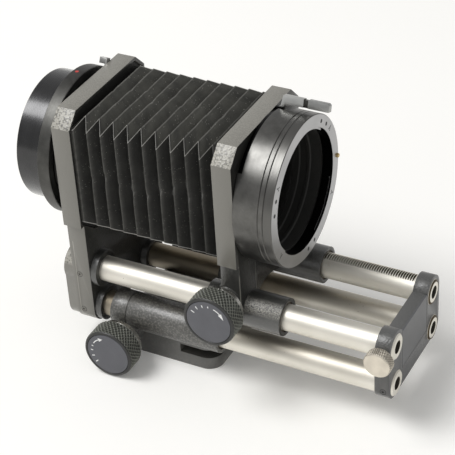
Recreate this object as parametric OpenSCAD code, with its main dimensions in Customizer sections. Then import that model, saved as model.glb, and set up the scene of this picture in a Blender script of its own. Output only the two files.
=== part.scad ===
// Macro bellows unit: four guide rods, a carriage with a tripod foot, a rear standard,
// a sliding front standard, a square bellows between them, and rack and pinion drives.
// X runs along the rods to the front, Y to the far side, Z up.
// The origin is the mouth of the tripod thread, on the table.

/* [Rods] */
// Diameter of the four guide rods
rod_d = 12; // [11:0.1:13]
// Length of each rod
rod_len = 162.5; // [150:0.5:220]
// Reach of the rods behind the tripod thread
rod_rear = 50.6; // [49:0.1:56]
// Spacing of the rods across the unit
rod_span_y = 42.4; // [41:0.1:48]
// Height of the upper rods above the lower ones
rod_span_z = 20.06; // [19.5:0.02:26]
// Height of the lower rods above the table
rod_lower_z = 21.84; // [21:0.02:26]
// Diameter of the hole in each rod's front end
rod_bore_d = 6; // [4:0.1:8]
// Depth of that hole
rod_bore_len = 20; // [8:1:40]
// Bevel on the rod ends
rod_bevel = 0.6; // [0.2:0.1:1.2]
// Gap all round between a rod and its bush
rod_play = 0.05; // [0.02:0.01:0.09]

/* [Racks and pinions] */
// Pitch of the rack teeth
rack_pitch = 1.16; // [1:0.02:1.3]
// Number of teeth on each pinion
pinion_teeth = 18; // [16:2:22]
// Depth of the pitch line below the rod's surface
rack_addendum = 0.35; // [0.3:0.01:0.4]
// Depth of the tooth gaps below the pitch line
rack_dedendum = 0.42; // [0.38:0.01:0.5]
// Height of the pinion teeth above the pitch circle
pinion_addendum = 0.3; // [0.2:0.01:0.34]
// Depth of the pinion's gaps below the pitch circle
pinion_dedendum = 0.45; // [0.4:0.01:0.5]
// Backlash along the pitch line
rack_backlash = 0.2; // [0.12:0.02:0.3]
// Flank angle of the teeth
flank_angle = 20; // [18:1:22]
// Width of the cut that makes the teeth
rack_cut_w = 12; // [8:0.5:14]
// Face width of the pinions
pinion_w = 10; // [6:0.5:12]
// Rack behind the front shaft
front_rack_rear = 47; // [44:1:60]
// Rack behind the focus shaft
focus_rack_rear = 9; // [8:1:20]
// Rack ahead of the focus shaft
focus_rack_front = 80; // [78:1:90]
// Number of teeth left out in front of the end plate
rack_spare_teeth = 1; // [1:1:4]
// Diameter of the two drive shafts
shaft_d = 4.5; // [4:0.1:4.8]
// Gap all round a turning shaft
shaft_play = 0.05; // [0.02:0.01:0.09]

/* [Carriage] */
// Reach of the near sleeve behind the tripod thread
near_sleeve_rear = 28.1; // [27:0.1:30]
// Reach of both sleeves ahead of the tripod thread
sleeve_front = 27.5; // [26:0.1:30]
// Length of the far sleeve
far_sleeve_len = 21.5; // [16:0.5:30]
// Diameter of every sleeve
sleeve_d = 17.4; // [17:0.1:19]
// Gap all round a rod between the bushes
sleeve_relief = 0.2; // [0.1:0.05:0.3]
// Wall of the brass bushes
bush_wall = 0.95; // [0.6:0.05:1.2]
// Length of the carriage bushes
carriage_bush_len = 4; // [3:0.5:5]
// Depth of every bush inside its sleeve's end
bush_in = 0.6; // [0.3:0.1:1]
// Length of the foot
foot_len = 46.6; // [40:0.2:52]
// Width of the foot
foot_w = 47; // [44:0.2:50]
// Height of the foot block
foot_h = 14; // [13.6:0.1:15]
// Radius of the foot's upright corners
foot_corner_r = 7; // [3:0.5:10]
// Height of the slot's floor
slot_z = 6.4; // [5:0.1:7]
// Height of the slot itself
slot_h = 4.6; // [3:0.1:5]
// Start of the slot ahead of the tripod thread
slot_start = 4.7; // [4:0.1:10]
// Diameter of the tripod thread
tripod_d = 6.35; // [6:0.05:7]
// Depth of the tripod thread
tripod_depth = 9; // [6:0.5:10]
// Focus shaft behind the tripod thread
focus_shaft_back = 20.85; // [20:0.05:23]
// Diameter of the bosses round the shafts
neck_d = 13; // [12:0.1:14]
// Seam ring on the near sleeve, behind the tripod thread
sleeve_seam_back = 19.9; // [15:0.1:23]
// Width and depth of that seam
sleeve_seam = 0.4; // [0.2:0.1:0.6]

/* [Standards] */
// Thickness of both standards
std_t = 9.2; // [8.5:0.1:10]
// Width of the square frames
frame_w = 65.4; // [62:0.2:72]
// Height of the square frames
frame_h = 58; // [56:0.2:64]
// Height of the optical axis above the upper rods
axis_rise = 53.5; // [52:0.1:60]
// Frame above the optical axis
frame_rise = 32.8; // [31:0.1:36]
// Chamfer on the upper frame corners
frame_chamfer = 6.9; // [4:0.1:9]
// Diameter of the light opening in the frames
throat_d = 52; // [46:0.5:54]
// Width of the stems below the frames
stem_w = 60.6; // [59.6:0.1:61.4]
// Length of the rear standard's bosses behind its frame
rear_boss_len = 5.1; // [4:0.1:6]
// Length of the bosses in front of it
front_boss_len = 3; // [2:0.1:4]
// Diameter of the upper bosses
upper_boss_d = 17.8; // [17:0.1:19]
// Diameter of the lower bosses
lower_boss_d = 16.6; // [16:0.1:18]
// Radius of the rear standard's lower corners
stem_corner_r = 8.5; // [6:0.1:9]
// Distance between the standards as photographed
bellows_len = 69.1; // [60:0.1:80]
// Length of the front standard's sleeves
front_sleeve_len = 37.2; // [36:0.1:40]
// Reach of those sleeves behind the front frame
front_sleeve_back = 10.3; // [8:0.1:12]
// Length of the front bushes
front_bush_len = 6; // [4:0.5:8]
// Width of the front standard's legs
leg_w = 15.1; // [14:0.1:17]
// Step from the legs back to the web between them
web_recess = 2.5; // [1:0.1:3]
// Thickness of that web
web_t = 6; // [5:0.1:6.5]
// Height of the web's lower edge above the upper rods, at the legs
web_drop = 3.9; // [1:0.1:5]
// Height of the arch in the web's lower edge
web_arch = 5.8; // [1:0.1:8]
// Front shaft ahead of the front frame's rear face
front_shaft_in = 2.6; // [2:0.1:3]

/* [Bellows] */
// Number of folds
folds = 10; // [8:1:14]
// Half width of the bellows at the ridges of its sides
fold_out_y = 30; // [28:0.1:30.4]
// Half width where a ridge of the top or bottom ends
fold_in_y = 23.8; // [22:0.1:25]
// Half height of the bellows at the ridges of its top and bottom
fold_out_z = 28.8; // [27:0.1:29.6]
// Half height where a ridge of a side ends
fold_in_z = 24.1; // [22:0.1:25]
// Height of the middle of the bellows above the optical axis
bellows_rise = 1.2; // [0.8:0.1:1.6]
// Wall of the bellows, measured across the unit
fold_wall = 1.6; // [1:0.1:2.5]
// Depth of the bellows' seats in the standards
bellows_seat_depth = 2.4; // [1.8:0.1:3]
// Rim of the standards round those seats
bellows_seat_rim = 1.4; // [1.2:0.1:1.6]
// Reach of those seats below the frames
bellows_seat_drop = 7.4; // [4:0.1:8]
// Width of the sloping lower corners of those seats
bellows_seat_slope = 10.6; // [8:0.1:12]
// Thickness of the clamping frames
clamp_t = 1.2; // [0.8:0.1:1.6]
// Gap all round the clamping frames
clamp_gap = 0.2; // [0.1:0.05:0.25]

/* [Front mount] */
// Diameter of the mount
mount_d = 68.3; // [66:0.1:70]
// Length of the mount ahead of the frame
mount_len = 18.3; // [17:0.1:22]
// Start of the collar ahead of the frame
collar_start = 11.8; // [10:0.1:12]
// Length of the collar
collar_len = 2.3; // [1.5:0.1:3]
// Diameter of the opening in the face
mouth_d = 56.4; // [55:0.1:57.5]
// Inner diameter of the barrel
barrel_bore_d = 57.4; // [57.2:0.1:58.4]
// Bevel on the edges of the mount's rings
ring_bevel = 0.3; // [0.1:0.05:0.5]
// Inner diameter at the bayonet claws
claw_d = 54.4; // [53:0.1:55]
// Depth of the claws behind the face
claw_depth = 0.9; // [0.5:0.1:1.5]
// Thickness of the claws
claw_t = 1.2; // [0.8:0.1:1.6]
// Number of claws
claw_count = 3; // [2:1:4]
// Angle that each claw spans
claw_span = 54; // [40:1:58]
// Angle where the first claw ends
claw_angle = 49; // [40:1:60]
// Circle of the face screws, as a diameter
face_screw_pcd = 61.8; // [61:0.1:63]
// Head diameter of the face screws
face_screw_d = 1.9; // [1.4:0.1:2.2]
// Length of the face screws
face_screw_len = 5; // [3:0.5:6]
// Angle between a pair of face screws
face_screw_angle = 11.8; // [8:0.2:16]
// Circle of the locking pin, as a diameter
pin_pcd = 65.3; // [65:0.1:65.6]
// Diameter of the locking pin
pin_d = 2; // [1.6:0.1:2.2]
// Length of the locking pin
pin_len = 8; // [6:0.5:10]
// Part of the pin that stands out of the face
pin_out = 1; // [0.6:0.1:1.6]
// Travel of the pin
pin_travel = 1.6; // [1:0.1:2]
// Angle of the pin on the face
pin_angle = -1; // [-5:1:5]
// Length of the light baffle in the mount
baffle_len = 13; // [8:0.5:14]
// Wall of the light baffle
baffle_wall = 1.2; // [0.8:0.1:1.6]

/* [Levers] */
// Width of the slot that the front lever runs in
lever_slot_w = 2.2; // [1.8:0.1:2.6]
// Angle of the front lever at rest
lever_angle = 71.1; // [65:0.1:80]
// Spare angle of the slot behind the lever at rest
lever_slot_spare = 3; // [1:0.5:6]
// Angle where the lever's slot ends
lever_slot_end = 142; // [138:1:150]
// Inner diameter of the front lever's ring
lever_ring_d = 62.1; // [61.8:0.1:62.4]
// Radial height of the front lever's ring
lever_ring_h = 2.1; // [1.6:0.1:2.2]
// Height of the lever's bar from the optical axis, to its top
lever_top_r = 40; // [39:0.1:43]
// Height of the bar
lever_bar_h = 3.7; // [3:0.1:4]
// Width of the bar
lever_bar_w = 3; // [2:0.1:4]
// Reach of the front lever ahead of the frame
lever_reach = 24.8; // [20:0.1:30]
// Start of its bar ahead of the frame
lever_bar_start = 3.4; // [2.6:0.1:4]
// Thickness of the plate that carries the bar
lever_plate_t = 1.2; // [0.8:0.1:1.4]
// Lean of that plate between the mount and the bar
lever_lean = 0.8; // [0.4:0.1:1]
// Notch in the lever, from its front end
lever_notch_back = 9.7; // [8:0.1:11]
// Length of the notch
lever_notch_len = 2.1; // [1:0.1:3]
// Depth of the notch
lever_notch_depth = 0.5; // [0.2:0.1:0.8]
// Bevel on the lever's tip
lever_tip_bevel = 1.1; // [0.5:0.1:1.4]
// Gap round a lever's ring
lever_play = 0.06; // [0.03:0.01:0.1]

/* [Rear mount] */
// Length of the hub behind the rear frame
hub_len = 3.1; // [2.8:0.1:4]
// Outer diameter of the spigot that the mount turns on
spigot_d = 56; // [55:0.1:57]
// Part of the turning ring's length that the spigot holds
spigot_share = 0.55; // [0.5:0.01:0.6]
// Thickness of the washer that retains the turning ring
retainer_t = 1.2; // [1:0.1:1.4]
// Reach of that washer beyond the spigot
retainer_lip = 1.4; // [1:0.1:1.4]
// Diameter of the turning ring
turn_ring_d = 69; // [67:0.1:70]
// Length of the turning ring
turn_ring_len = 6.1; // [5:0.1:8]
// Diameter of the adapter tube
tube_d = 60; // [58:0.1:62]
// Length of the adapter tube
tube_len = 13.9; // [10:0.1:20]
// Wall of the adapter tube
tube_wall = 2.2; // [1.6:0.1:2.6]
// Angle of the index dot
dot_angle = 87.4; // [80:0.2:100]
// Diameter of the index dot
dot_d = 1.8; // [1:0.1:2.4]
// Thickness of the rear flange in the tube's end
rear_flange_t = 2; // [1.5:0.1:3]
// Opening in the rear flange
rear_mouth_d = 52; // [48:0.5:53]
// Outer diameter of the rear lever's ring
rear_lever_ring_d = 61; // [60:0.1:62]
// Wall of the rear lever's ring
rear_lever_wall = 1.4; // [1:0.1:1.6]
// Angle of the rear lever at rest
rear_lever_angle = 62; // [55:0.5:72]
// Height of its bar from the optical axis, to its top
rear_lever_top_r = 38.7; // [38.4:0.1:40]
// Height of that bar
rear_lever_bar_h = 2.8; // [2:0.1:3.2]
// Thickness of the plate that carries it
rear_lever_plate_t = 1; // [0.8:0.1:1.4]
// Reach of the rear lever behind the frame
rear_lever_reach = 4; // [3.4:0.1:5]

/* [End plate] */
// Thickness of the end plate
end_t = 6.8; // [6:0.1:8]
// Part of the rods that stands out of the end plate
rod_proud = 0.6; // [0.3:0.1:1]
// Diameter of its upper bosses
end_boss_d = 15.8; // [15:0.1:17]
// Height of the middle above the upper rods
end_mid_rise = 3.2; // [2:0.1:4]
// Lower edge below the lower rods
end_drop = 5.84; // [5:0.02:7.5]
// Radius of its lower corners
end_corner_r = 6; // [4:0.5:7]
// Width of the bare name panel
panel_w = 28; // [20:0.5:30]
// Height of the name panel
panel_h = 19.8; // [14:0.2:21]
// Thickness of the name panel
panel_t = 0.8; // [0.5:0.1:1.2]
// Groove round the name panel
panel_gap = 0.25; // [0.1:0.05:0.4]
// Diameter of the grub screws
grub_d = 2.7; // [2:0.1:4]
// Hexagon socket of the grub screws, across its corners
grub_hex = 1.4; // [1:0.1:1.8]
// Depth of that socket
grub_hex_depth = 0.4; // [0.3:0.1:1.6]

/* [Knobs] */
// Diameter of the four knobs
knob_d = 25; // [22:0.2:25.4]
// Length of a lock knob
knob_len = 9.8; // [8:0.1:12]
// Bevel at the face of a knob
knob_bevel = 0.5; // [0.2:0.1:0.8]
// Diameter of the cap in the knob's face
knob_cap_d = 21.4; // [18:0.1:22]
// Thickness of that cap
knob_cap_t = 1; // [0.6:0.1:1.6]
// Diameter of the knob's rear hub
knob_hub_d = 19; // [16:0.1:20]
// Length of the knob's rear hub
knob_hub_len = 1; // [0.6:0.1:1.6]
// Diameter of the friction washers
washer_d = 21; // [18:0.1:22]
// Thickness of the friction washers
washer_t = 2.3; // [1.5:0.1:3]
// Rear face of the focus lock knob, out from the side of the frames
focus_knob_out = 3.5; // [2.8:0.1:5.3]
// Rear face of the front lock knob, out from the side of the frames
front_knob_out = 6; // [4.3:0.1:7.3]
// Rear face of the far drive knobs, out from the side of the frames
drive_knob_out = 3.3; // [2.8:0.1:5.3]
// Diameter of the drive knobs' rear hubs
drive_hub_d = 10; // [8:0.1:12]
// End of the far bosses, out from the side of the frames
far_neck_out = 0.3; // [0.2:0.1:1.3]
// Diameter of the pockets that hold the pinions
pocket_d = 7.8; // [7.6:0.1:8]
// Length of the far bearings
bearing_len = 5; // [3:0.5:6]

/* [Thumb screw] */
// Diameter of the thumb screw's head
thumb_d = 12.6; // [11:0.1:14]
// Length of the head
thumb_len = 5.1; // [4:0.1:7]
// Rear face of the head, from the middle plane
thumb_y = 31.5; // [30.5:0.1:33]
// Diameter of the thumb screw's shank
thumb_shank_d = 4; // [3:0.1:5]
// Thumb screw behind the end plate's front face
thumb_in = 2.8; // [2.6:0.1:3.6]

/* [Hidden] */
$fn = 96;

// How far a cut runs past the surface that it opens
overrun = 0.5;
// Gap round a piece that is fixed in its seat
seat_gap = 0.02;
// Gap between two pieces that turn or slide past each other face to face
face_gap = 0.1;
// Extra depth at the bottom of a blind hole
blind_gap = 0.3;

rod_r = rod_d / 2;
rod_y = rod_span_y / 2;
rod_upper_z = rod_lower_z + rod_span_z;
rod_front_x = rod_len - rod_rear;
axis_z = rod_upper_z + axis_rise;
frame_top_z = axis_z + frame_rise;
frame_low_z = frame_top_z - frame_h;

rear_std_x = rear_boss_len - rod_rear;
rear_face_x = rear_std_x + std_t;
front_std_x = rear_face_x + bellows_len;
mount_x = front_std_x + std_t;
mount_face_x = mount_x + mount_len;
end_face_x = rod_front_x - rod_proud;
end_x = end_face_x - end_t;

pinion_r = pinion_teeth * rack_pitch / (2 * PI);
shaft_r = shaft_d / 2;
shaft_rise = rod_r - rack_addendum + pinion_r;
focus_shaft_x = -focus_shaft_back;
focus_shaft_z = rod_lower_z - shaft_rise;
front_shaft_x = front_std_x + front_shaft_in;
front_shaft_z = rod_upper_z + shaft_rise;
bush_r = rod_r + rod_play + bush_wall;
neck_r = neck_d / 2;
pocket_r = pocket_d / 2;
pocket_y = rod_y - pinion_w / 2 - face_gap;
knob_shaft_in = 0.7 * knob_len;
far_neck_y = frame_w / 2 + far_neck_out;
focus_knob_y = frame_w / 2 + focus_knob_out;
front_knob_y = frame_w / 2 + front_knob_out;
drive_knob_y = frame_w / 2 + drive_knob_out;

// Local z along the rods, local x across to the far side, local y up
module facing_front(x, y, z) {
    translate([x, y, z]) rotate([90, 0, 90]) children();
}

// Local z out to the far side
module facing_far(x, y, z) {
    translate([x, y, z]) rotate([-90, 0, 0]) children();
}

// Local z out to the near side
module facing_near(x, y, z) {
    translate([x, y, z]) rotate([90, 0, 0]) children();
}

// Both sides of the unit
module both_sides() {
    children();
    mirror([0, 1, 0]) children();
}

module tube(r_out, r_in, h) {
    difference() {
        cylinder(r = r_out, h = h);
        translate([0, 0, -overrun]) cylinder(r = r_in, h = h + 2 * overrun);
    }
}

// Ring with both outer edges bevelled
module bevelled_ring(r_out, r_in, h, bevel) {
    rotate_extrude() polygon([
        [r_in, 0], [r_out - bevel, 0], [r_out, bevel],
        [r_out, h - bevel], [r_out - bevel, h], [r_in, h]
    ]);
}

// Flat pie slice from one angle to another, past the radius r
module slice(r, from, to) {
    steps = 6;
    polygon(concat([[0, 0]], [
        for (i = [0 : steps])
            let (a = from + (to - from) * i / steps)
            [2 * r * cos(a), 2 * r * sin(a)]
    ]));
}

// Rods

module rod_blank(y, z) {
    facing_front(-rod_rear, y, z) rotate_extrude() polygon([
        [0, 0], [rod_r - rod_bevel, 0], [rod_r, rod_bevel],
        [rod_r, rod_len - rod_bevel], [rod_r - rod_bevel, rod_len],
        [rod_bore_d / 2, rod_len], [rod_bore_d / 2, rod_len - rod_bore_len],
        [0, rod_len - rod_bore_len]
    ]);
}

// Half width of a tooth gap at a height above the rod's axis
function gap_half(h) = (rack_pitch + rack_backlash) / 4
    + (h - rod_r + rack_addendum) * tan(flank_angle);

// Comb that cuts the rack: side 1 cuts the top of the rod, side -1 the underside
module rack_comb(x, y, z, side, teeth_rear, teeth_front) {
    tip = rod_r + overrun / 2;
    root = rod_r - rack_addendum - rack_dedendum;
    back = rod_r + 2 * overrun;
    gaps = [
        for (i = [-teeth_rear : teeth_front])
            for (p = [[-gap_half(tip), tip], [-gap_half(root), root],
                      [gap_half(root), root], [gap_half(tip), tip]])
                [i * rack_pitch + p[0], side * p[1]]
    ];
    ends = [
        [teeth_front * rack_pitch + gap_half(tip), side * back],
        [-teeth_rear * rack_pitch - gap_half(tip), side * back]
    ];
    translate([x, y + rack_cut_w / 2, z]) rotate([90, 0, 0])
        linear_extrude(rack_cut_w) polygon(concat(gaps, ends));
}

module rod_upper_near() {
    color("silver") rod_blank(-rod_y, rod_upper_z);
}

module rod_upper_far() {
    rear = floor(front_rack_rear / rack_pitch);
    front = floor((end_x - front_shaft_x) / rack_pitch) - rack_spare_teeth;
    color("silver") difference() {
        rod_blank(rod_y, rod_upper_z);
        rack_comb(front_shaft_x, rod_y, rod_upper_z, 1, rear, front);
    }
}

module rod_lower_near() {
    color("silver") rod_blank(-rod_y, rod_lower_z);
}

module rod_lower_far() {
    rear = floor(focus_rack_rear / rack_pitch);
    front = floor(focus_rack_front / rack_pitch);
    color("silver") difference() {
        rod_blank(rod_y, rod_lower_z);
        rack_comb(focus_shaft_x, rod_y, rod_lower_z, -1, rear, front);
    }
}

// Carriage

// Bore of a sleeve with a seat for a bush at each end
module sleeve_bore(x, len, y, z, bush_len) {
    facing_front(x, y, z) {
        translate([0, 0, -overrun]) cylinder(r = rod_r + sleeve_relief, h = len + 2 * overrun);
        for (z = [-overrun, len - bush_in - bush_len]) translate([0, 0, z])
            cylinder(r = bush_r + seat_gap, h = bush_len + bush_in + overrun);
    }
}

module sleeve_bushes(x, len, y, z, bush_len) {
    facing_front(x, y, z) for (z = [bush_in, len - bush_in - bush_len])
        translate([0, 0, z]) tube(bush_r, rod_r + rod_play, bush_len);
}

module foot_block() {
    flat_x = foot_len / 2 - foot_corner_r;
    flat_y = foot_w / 2 - foot_corner_r;
    linear_extrude(foot_h) {
        square([2 * flat_x, foot_w], center = true);
        square([foot_len, 2 * flat_y], center = true);
        for (x = [-flat_x, flat_x]) for (y = [-flat_y, flat_y])
            translate([x, y]) circle(r = foot_corner_r);
    }
}

// Bore of a shaft, and the pocket of its pinion on the far side
module shaft_bore(x, z, near_y) {
    facing_near(x, pocket_y + overrun, z)
        cylinder(r = shaft_r + shaft_play, h = pocket_y + near_y + 2 * overrun);
    facing_far(x, pocket_y, z) cylinder(r = pocket_r, h = far_neck_y - pocket_y + overrun);
}

near_sleeve_len = near_sleeve_rear + sleeve_front;
far_sleeve_x = sleeve_front - far_sleeve_len;
focus_neck_y = focus_knob_y - knob_hub_len - washer_t - face_gap;
front_neck_y = front_knob_y - knob_hub_len - washer_t - face_gap;

module carriage_casting() {
    color([0.2, 0.2, 0.19]) difference() {
        union() {
            facing_front(-near_sleeve_rear, -rod_y, rod_lower_z)
                cylinder(d = sleeve_d, h = near_sleeve_len);
            facing_front(far_sleeve_x, rod_y, rod_lower_z)
                cylinder(d = sleeve_d, h = far_sleeve_len);
            foot_block();
            facing_near(focus_shaft_x, 0, focus_shaft_z) cylinder(r = neck_r, h = focus_neck_y);
            facing_far(focus_shaft_x, 0, focus_shaft_z) cylinder(r = neck_r, h = far_neck_y);
        }
        sleeve_bore(-near_sleeve_rear, near_sleeve_len, -rod_y, rod_lower_z, carriage_bush_len);
        sleeve_bore(far_sleeve_x, far_sleeve_len, rod_y, rod_lower_z, carriage_bush_len);
        facing_front(-rod_rear, rod_y, rod_lower_z)
            cylinder(r = rod_r + 2 * sleeve_relief, h = rod_rear + far_sleeve_x);
        shaft_bore(focus_shaft_x, focus_shaft_z, focus_neck_y);
        translate([0, 0, -overrun]) cylinder(d = tripod_d, h = tripod_depth + overrun);
        translate([slot_start, -foot_w, slot_z]) cube([foot_len, 2 * foot_w, slot_h]);
        facing_front(-sleeve_seam_back - sleeve_seam / 2, -rod_y, rod_lower_z)
            tube(sleeve_d / 2 + overrun, sleeve_d / 2 - sleeve_seam, sleeve_seam);
    }
}

module carriage_bushes() {
    color("goldenrod") {
        sleeve_bushes(-near_sleeve_rear, near_sleeve_len, -rod_y, rod_lower_z, carriage_bush_len);
        sleeve_bushes(far_sleeve_x, far_sleeve_len, rod_y, rod_lower_z, carriage_bush_len);
    }
}

module friction_washer(x, neck_y, z) {
    facing_near(x, -neck_y, z) bevelled_ring(washer_d / 2, shaft_r + shaft_play, washer_t, ring_bevel);
}

module focus_lock_washer() {
    color("gray") friction_washer(focus_shaft_x, focus_neck_y, focus_shaft_z);
}

module far_bearing(x, z) {
    facing_far(x, far_neck_y - bearing_len, z)
        tube(pocket_r - seat_gap, shaft_r + shaft_play, bearing_len);
}

module focus_bearing() {
    color("goldenrod") far_bearing(focus_shaft_x, focus_shaft_z);
}

// End plate

module end_outline() {
    low_z = rod_lower_z - end_drop;
    side_y = rod_y + end_boss_d / 2;
    corner_y = side_y - end_corner_r;
    corner_z = low_z + end_corner_r;
    mid_z = rod_upper_z + end_mid_rise;
    translate([-side_y, corner_z]) square([2 * side_y, rod_upper_z - corner_z]);
    translate([-corner_y, low_z]) square([2 * corner_y, mid_z - low_z]);
    for (s = [-1, 1]) {
        translate([s * rod_y, rod_upper_z]) circle(d = end_boss_d);
        translate([s * corner_y, corner_z]) circle(r = end_corner_r);
    }
}

// Places of the end plate's grub screws: side and height
end_grubs = [[-1, rod_lower_z], [1, rod_lower_z], [1, rod_upper_z]];
thumb_x = end_face_x - thumb_in;
end_side_y = rod_y + end_boss_d / 2;
panel_top_z = rod_upper_z + end_mid_rise;

// Grub screw from the outer face at y down to the rod
module grub(y, x, z, side) {
    len = y - rod_y - rod_r - seat_gap;
    mirror([0, side > 0 ? 1 : 0, 0]) facing_near(x, -y + len, z) difference() {
        cylinder(d = grub_d - 2 * seat_gap, h = len);
        translate([0, 0, len - grub_hex_depth])
            cylinder(d = grub_hex, h = grub_hex_depth + overrun, $fn = 6);
    }
}

module grub_hole(y, x, z, side) {
    mirror([0, side > 0 ? 1 : 0, 0]) facing_near(x, -rod_y, z)
        cylinder(d = grub_d, h = y - rod_y + overrun);
}

module end_plate() {
    color([0.25, 0.25, 0.26]) difference() {
        facing_front(end_x, 0, 0) linear_extrude(end_t) end_outline();
        for (y = [-rod_y, rod_y]) for (z = [rod_lower_z, rod_upper_z])
            facing_front(end_x - overrun, y, z)
                cylinder(r = rod_r + seat_gap, h = end_t + 2 * overrun);
        for (g = end_grubs) grub_hole(end_side_y, thumb_x, g[1], g[0]);
        facing_near(thumb_x, -rod_y, rod_upper_z)
            cylinder(r = thumb_shank_d / 2 + shaft_play, h = end_side_y - rod_y + overrun);
        translate([end_face_x - panel_t, -panel_w / 2 - panel_gap, panel_top_z - panel_h - panel_gap])
            cube([panel_t + overrun, panel_w + 2 * panel_gap, panel_h + 2 * panel_gap]);
    }
}

module end_panel() {
    color([0.3, 0.3, 0.31])
        translate([end_face_x - panel_t, -panel_w / 2, panel_top_z - panel_h])
            cube([panel_t, panel_w, panel_h]);
}

module end_grub_screws() {
    color([0.15, 0.15, 0.15])
        for (g = end_grubs) grub(end_side_y, thumb_x, g[1], g[0]);
}

// Standards

module frame_outline() {
    half = frame_w / 2;
    polygon([
        [-half, frame_low_z], [half, frame_low_z],
        [half, frame_top_z - frame_chamfer], [half - frame_chamfer, frame_top_z],
        [frame_chamfer - half, frame_top_z], [-half, frame_top_z - frame_chamfer]
    ]);
}

module stem_outline() {
    half = stem_w / 2;
    corner_y = half - stem_corner_r;
    translate([-half, rod_lower_z]) square([stem_w, frame_low_z - rod_lower_z]);
    translate([-corner_y, rod_lower_z - stem_corner_r]) square([2 * corner_y, stem_corner_r]);
    for (s = [-1, 1])
        translate([s * corner_y, rod_lower_z]) circle(r = stem_corner_r);
}

// Upright housing behind the rear standard, round one upper and one lower rod
module housing_outline() {
    width = lower_boss_d;
    translate([-rod_y, rod_upper_z]) circle(d = upper_boss_d);
    translate([-rod_y, rod_lower_z]) circle(d = lower_boss_d);
    translate([-rod_y - width / 2, rod_lower_z]) square([width, rod_span_z]);
}

rear_grub_x = rear_std_x + 0.38 * std_t;
stem_side_y = stem_w / 2;

// Outline of the bellows' seat in a standard, drawn in by the gap g
module bellows_seat_outline(g) {
    half = frame_w / 2 - bellows_seat_rim - g;
    top_z = frame_top_z - bellows_seat_rim - g;
    low_z = frame_low_z - bellows_seat_drop + g;
    side_z = frame_low_z + bellows_seat_rim + g;
    corner = frame_chamfer - bellows_seat_rim * (2 - sqrt(2));
    polygon([
        [bellows_seat_slope - half, low_z], [half - bellows_seat_slope, low_z],
        [half, side_z], [half, top_z - corner], [half - corner, top_z],
        [corner - half, top_z], [-half, top_z - corner], [-half, side_z]
    ]);
}

// Seat cut into a standard from its face at x
module bellows_seat(x) {
    facing_front(x, 0, 0) linear_extrude(bellows_seat_depth + overrun) bellows_seat_outline(0);
}

module rear_standard() {
    color([0.28, 0.28, 0.27]) difference() {
        union() {
            facing_front(rear_std_x, 0, 0) linear_extrude(std_t) {
                frame_outline();
                stem_outline();
            }
            both_sides() facing_front(-rod_rear, 0, 0)
                linear_extrude(rear_boss_len + overrun) housing_outline();
            for (y = [-rod_y, rod_y]) {
                facing_front(rear_face_x, y, rod_upper_z) cylinder(d = upper_boss_d, h = front_boss_len);
                facing_front(rear_face_x, y, rod_lower_z) cylinder(d = lower_boss_d, h = front_boss_len);
            }
        }
        for (y = [-rod_y, rod_y]) for (z = [rod_lower_z, rod_upper_z])
            facing_front(-rod_rear - overrun, y, z)
                cylinder(r = rod_r + seat_gap, h = rear_boss_len + std_t + front_boss_len + 2 * overrun);
        facing_front(rear_std_x - overrun, 0, axis_z) cylinder(d = throat_d, h = std_t + 2 * overrun);
        bellows_seat(rear_face_x - bellows_seat_depth);
        for (s = [-1, 1]) for (z = [rod_lower_z, rod_upper_z])
            grub_hole(stem_side_y, rear_grub_x, z, s);
    }
}

module rear_grub_screws() {
    color([0.15, 0.15, 0.15]) for (s = [-1, 1]) for (z = [rod_lower_z, rod_upper_z])
        grub(stem_side_y, rear_grub_x, z, s);
}

web_front_x = mount_x - web_recess;
leg_in_y = stem_w / 2 - leg_w;
web_low_z = rod_upper_z - web_drop;
front_sleeve_x = front_std_x - front_sleeve_back;

// Outline of the web, with the arch in its lower edge
module web_outline() {
    arch_r = (leg_in_y * leg_in_y + web_arch * web_arch) / (2 * web_arch);
    difference() {
        translate([-leg_in_y, web_low_z]) square([2 * leg_in_y, frame_low_z - web_low_z]);
        translate([0, web_low_z + web_arch - arch_r]) circle(r = arch_r);
    }
}

module front_standard() {
    rib_r = web_front_x - front_shaft_x;
    color([0.28, 0.28, 0.27]) difference() {
        union() {
            facing_front(front_std_x, 0, 0) linear_extrude(std_t) {
                frame_outline();
                for (y = [-stem_w / 2, leg_in_y])
                    translate([y, rod_upper_z]) square([leg_w, frame_low_z - rod_upper_z]);
            }
            facing_front(web_front_x - web_t, 0, 0) linear_extrude(web_t) web_outline();
            facing_near(front_shaft_x, leg_in_y, front_shaft_z) cylinder(r = rib_r, h = 2 * leg_in_y);
            for (y = [-rod_y, rod_y])
                facing_front(front_sleeve_x, y, rod_upper_z) cylinder(d = sleeve_d, h = front_sleeve_len);
            facing_near(front_shaft_x, -leg_in_y, front_shaft_z)
                cylinder(r = neck_r, h = front_neck_y - leg_in_y);
            facing_far(front_shaft_x, leg_in_y, front_shaft_z)
                cylinder(r = neck_r, h = far_neck_y - leg_in_y);
        }
        for (y = [-rod_y, rod_y])
            sleeve_bore(front_sleeve_x, front_sleeve_len, y, rod_upper_z, front_bush_len);
        shaft_bore(front_shaft_x, front_shaft_z, front_neck_y);
        facing_front(front_std_x - overrun, 0, axis_z) cylinder(d = throat_d, h = std_t + 2 * overrun);
        bellows_seat(front_std_x - overrun);
    }
}

module front_bushes() {
    color("goldenrod") for (y = [-rod_y, rod_y])
        sleeve_bushes(front_sleeve_x, front_sleeve_len, y, rod_upper_z, front_bush_len);
}

module front_lock_washer() {
    color("gray") friction_washer(front_shaft_x, front_neck_y, front_shaft_z);
}

module front_bearing() {
    color("goldenrod") far_bearing(front_shaft_x, front_shaft_z);
}

// Bellows

bellows_z = axis_z + bellows_rise;
bellows_rear_x = rear_face_x - bellows_seat_depth;
bellows_front_x = front_std_x + bellows_seat_depth;

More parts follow.
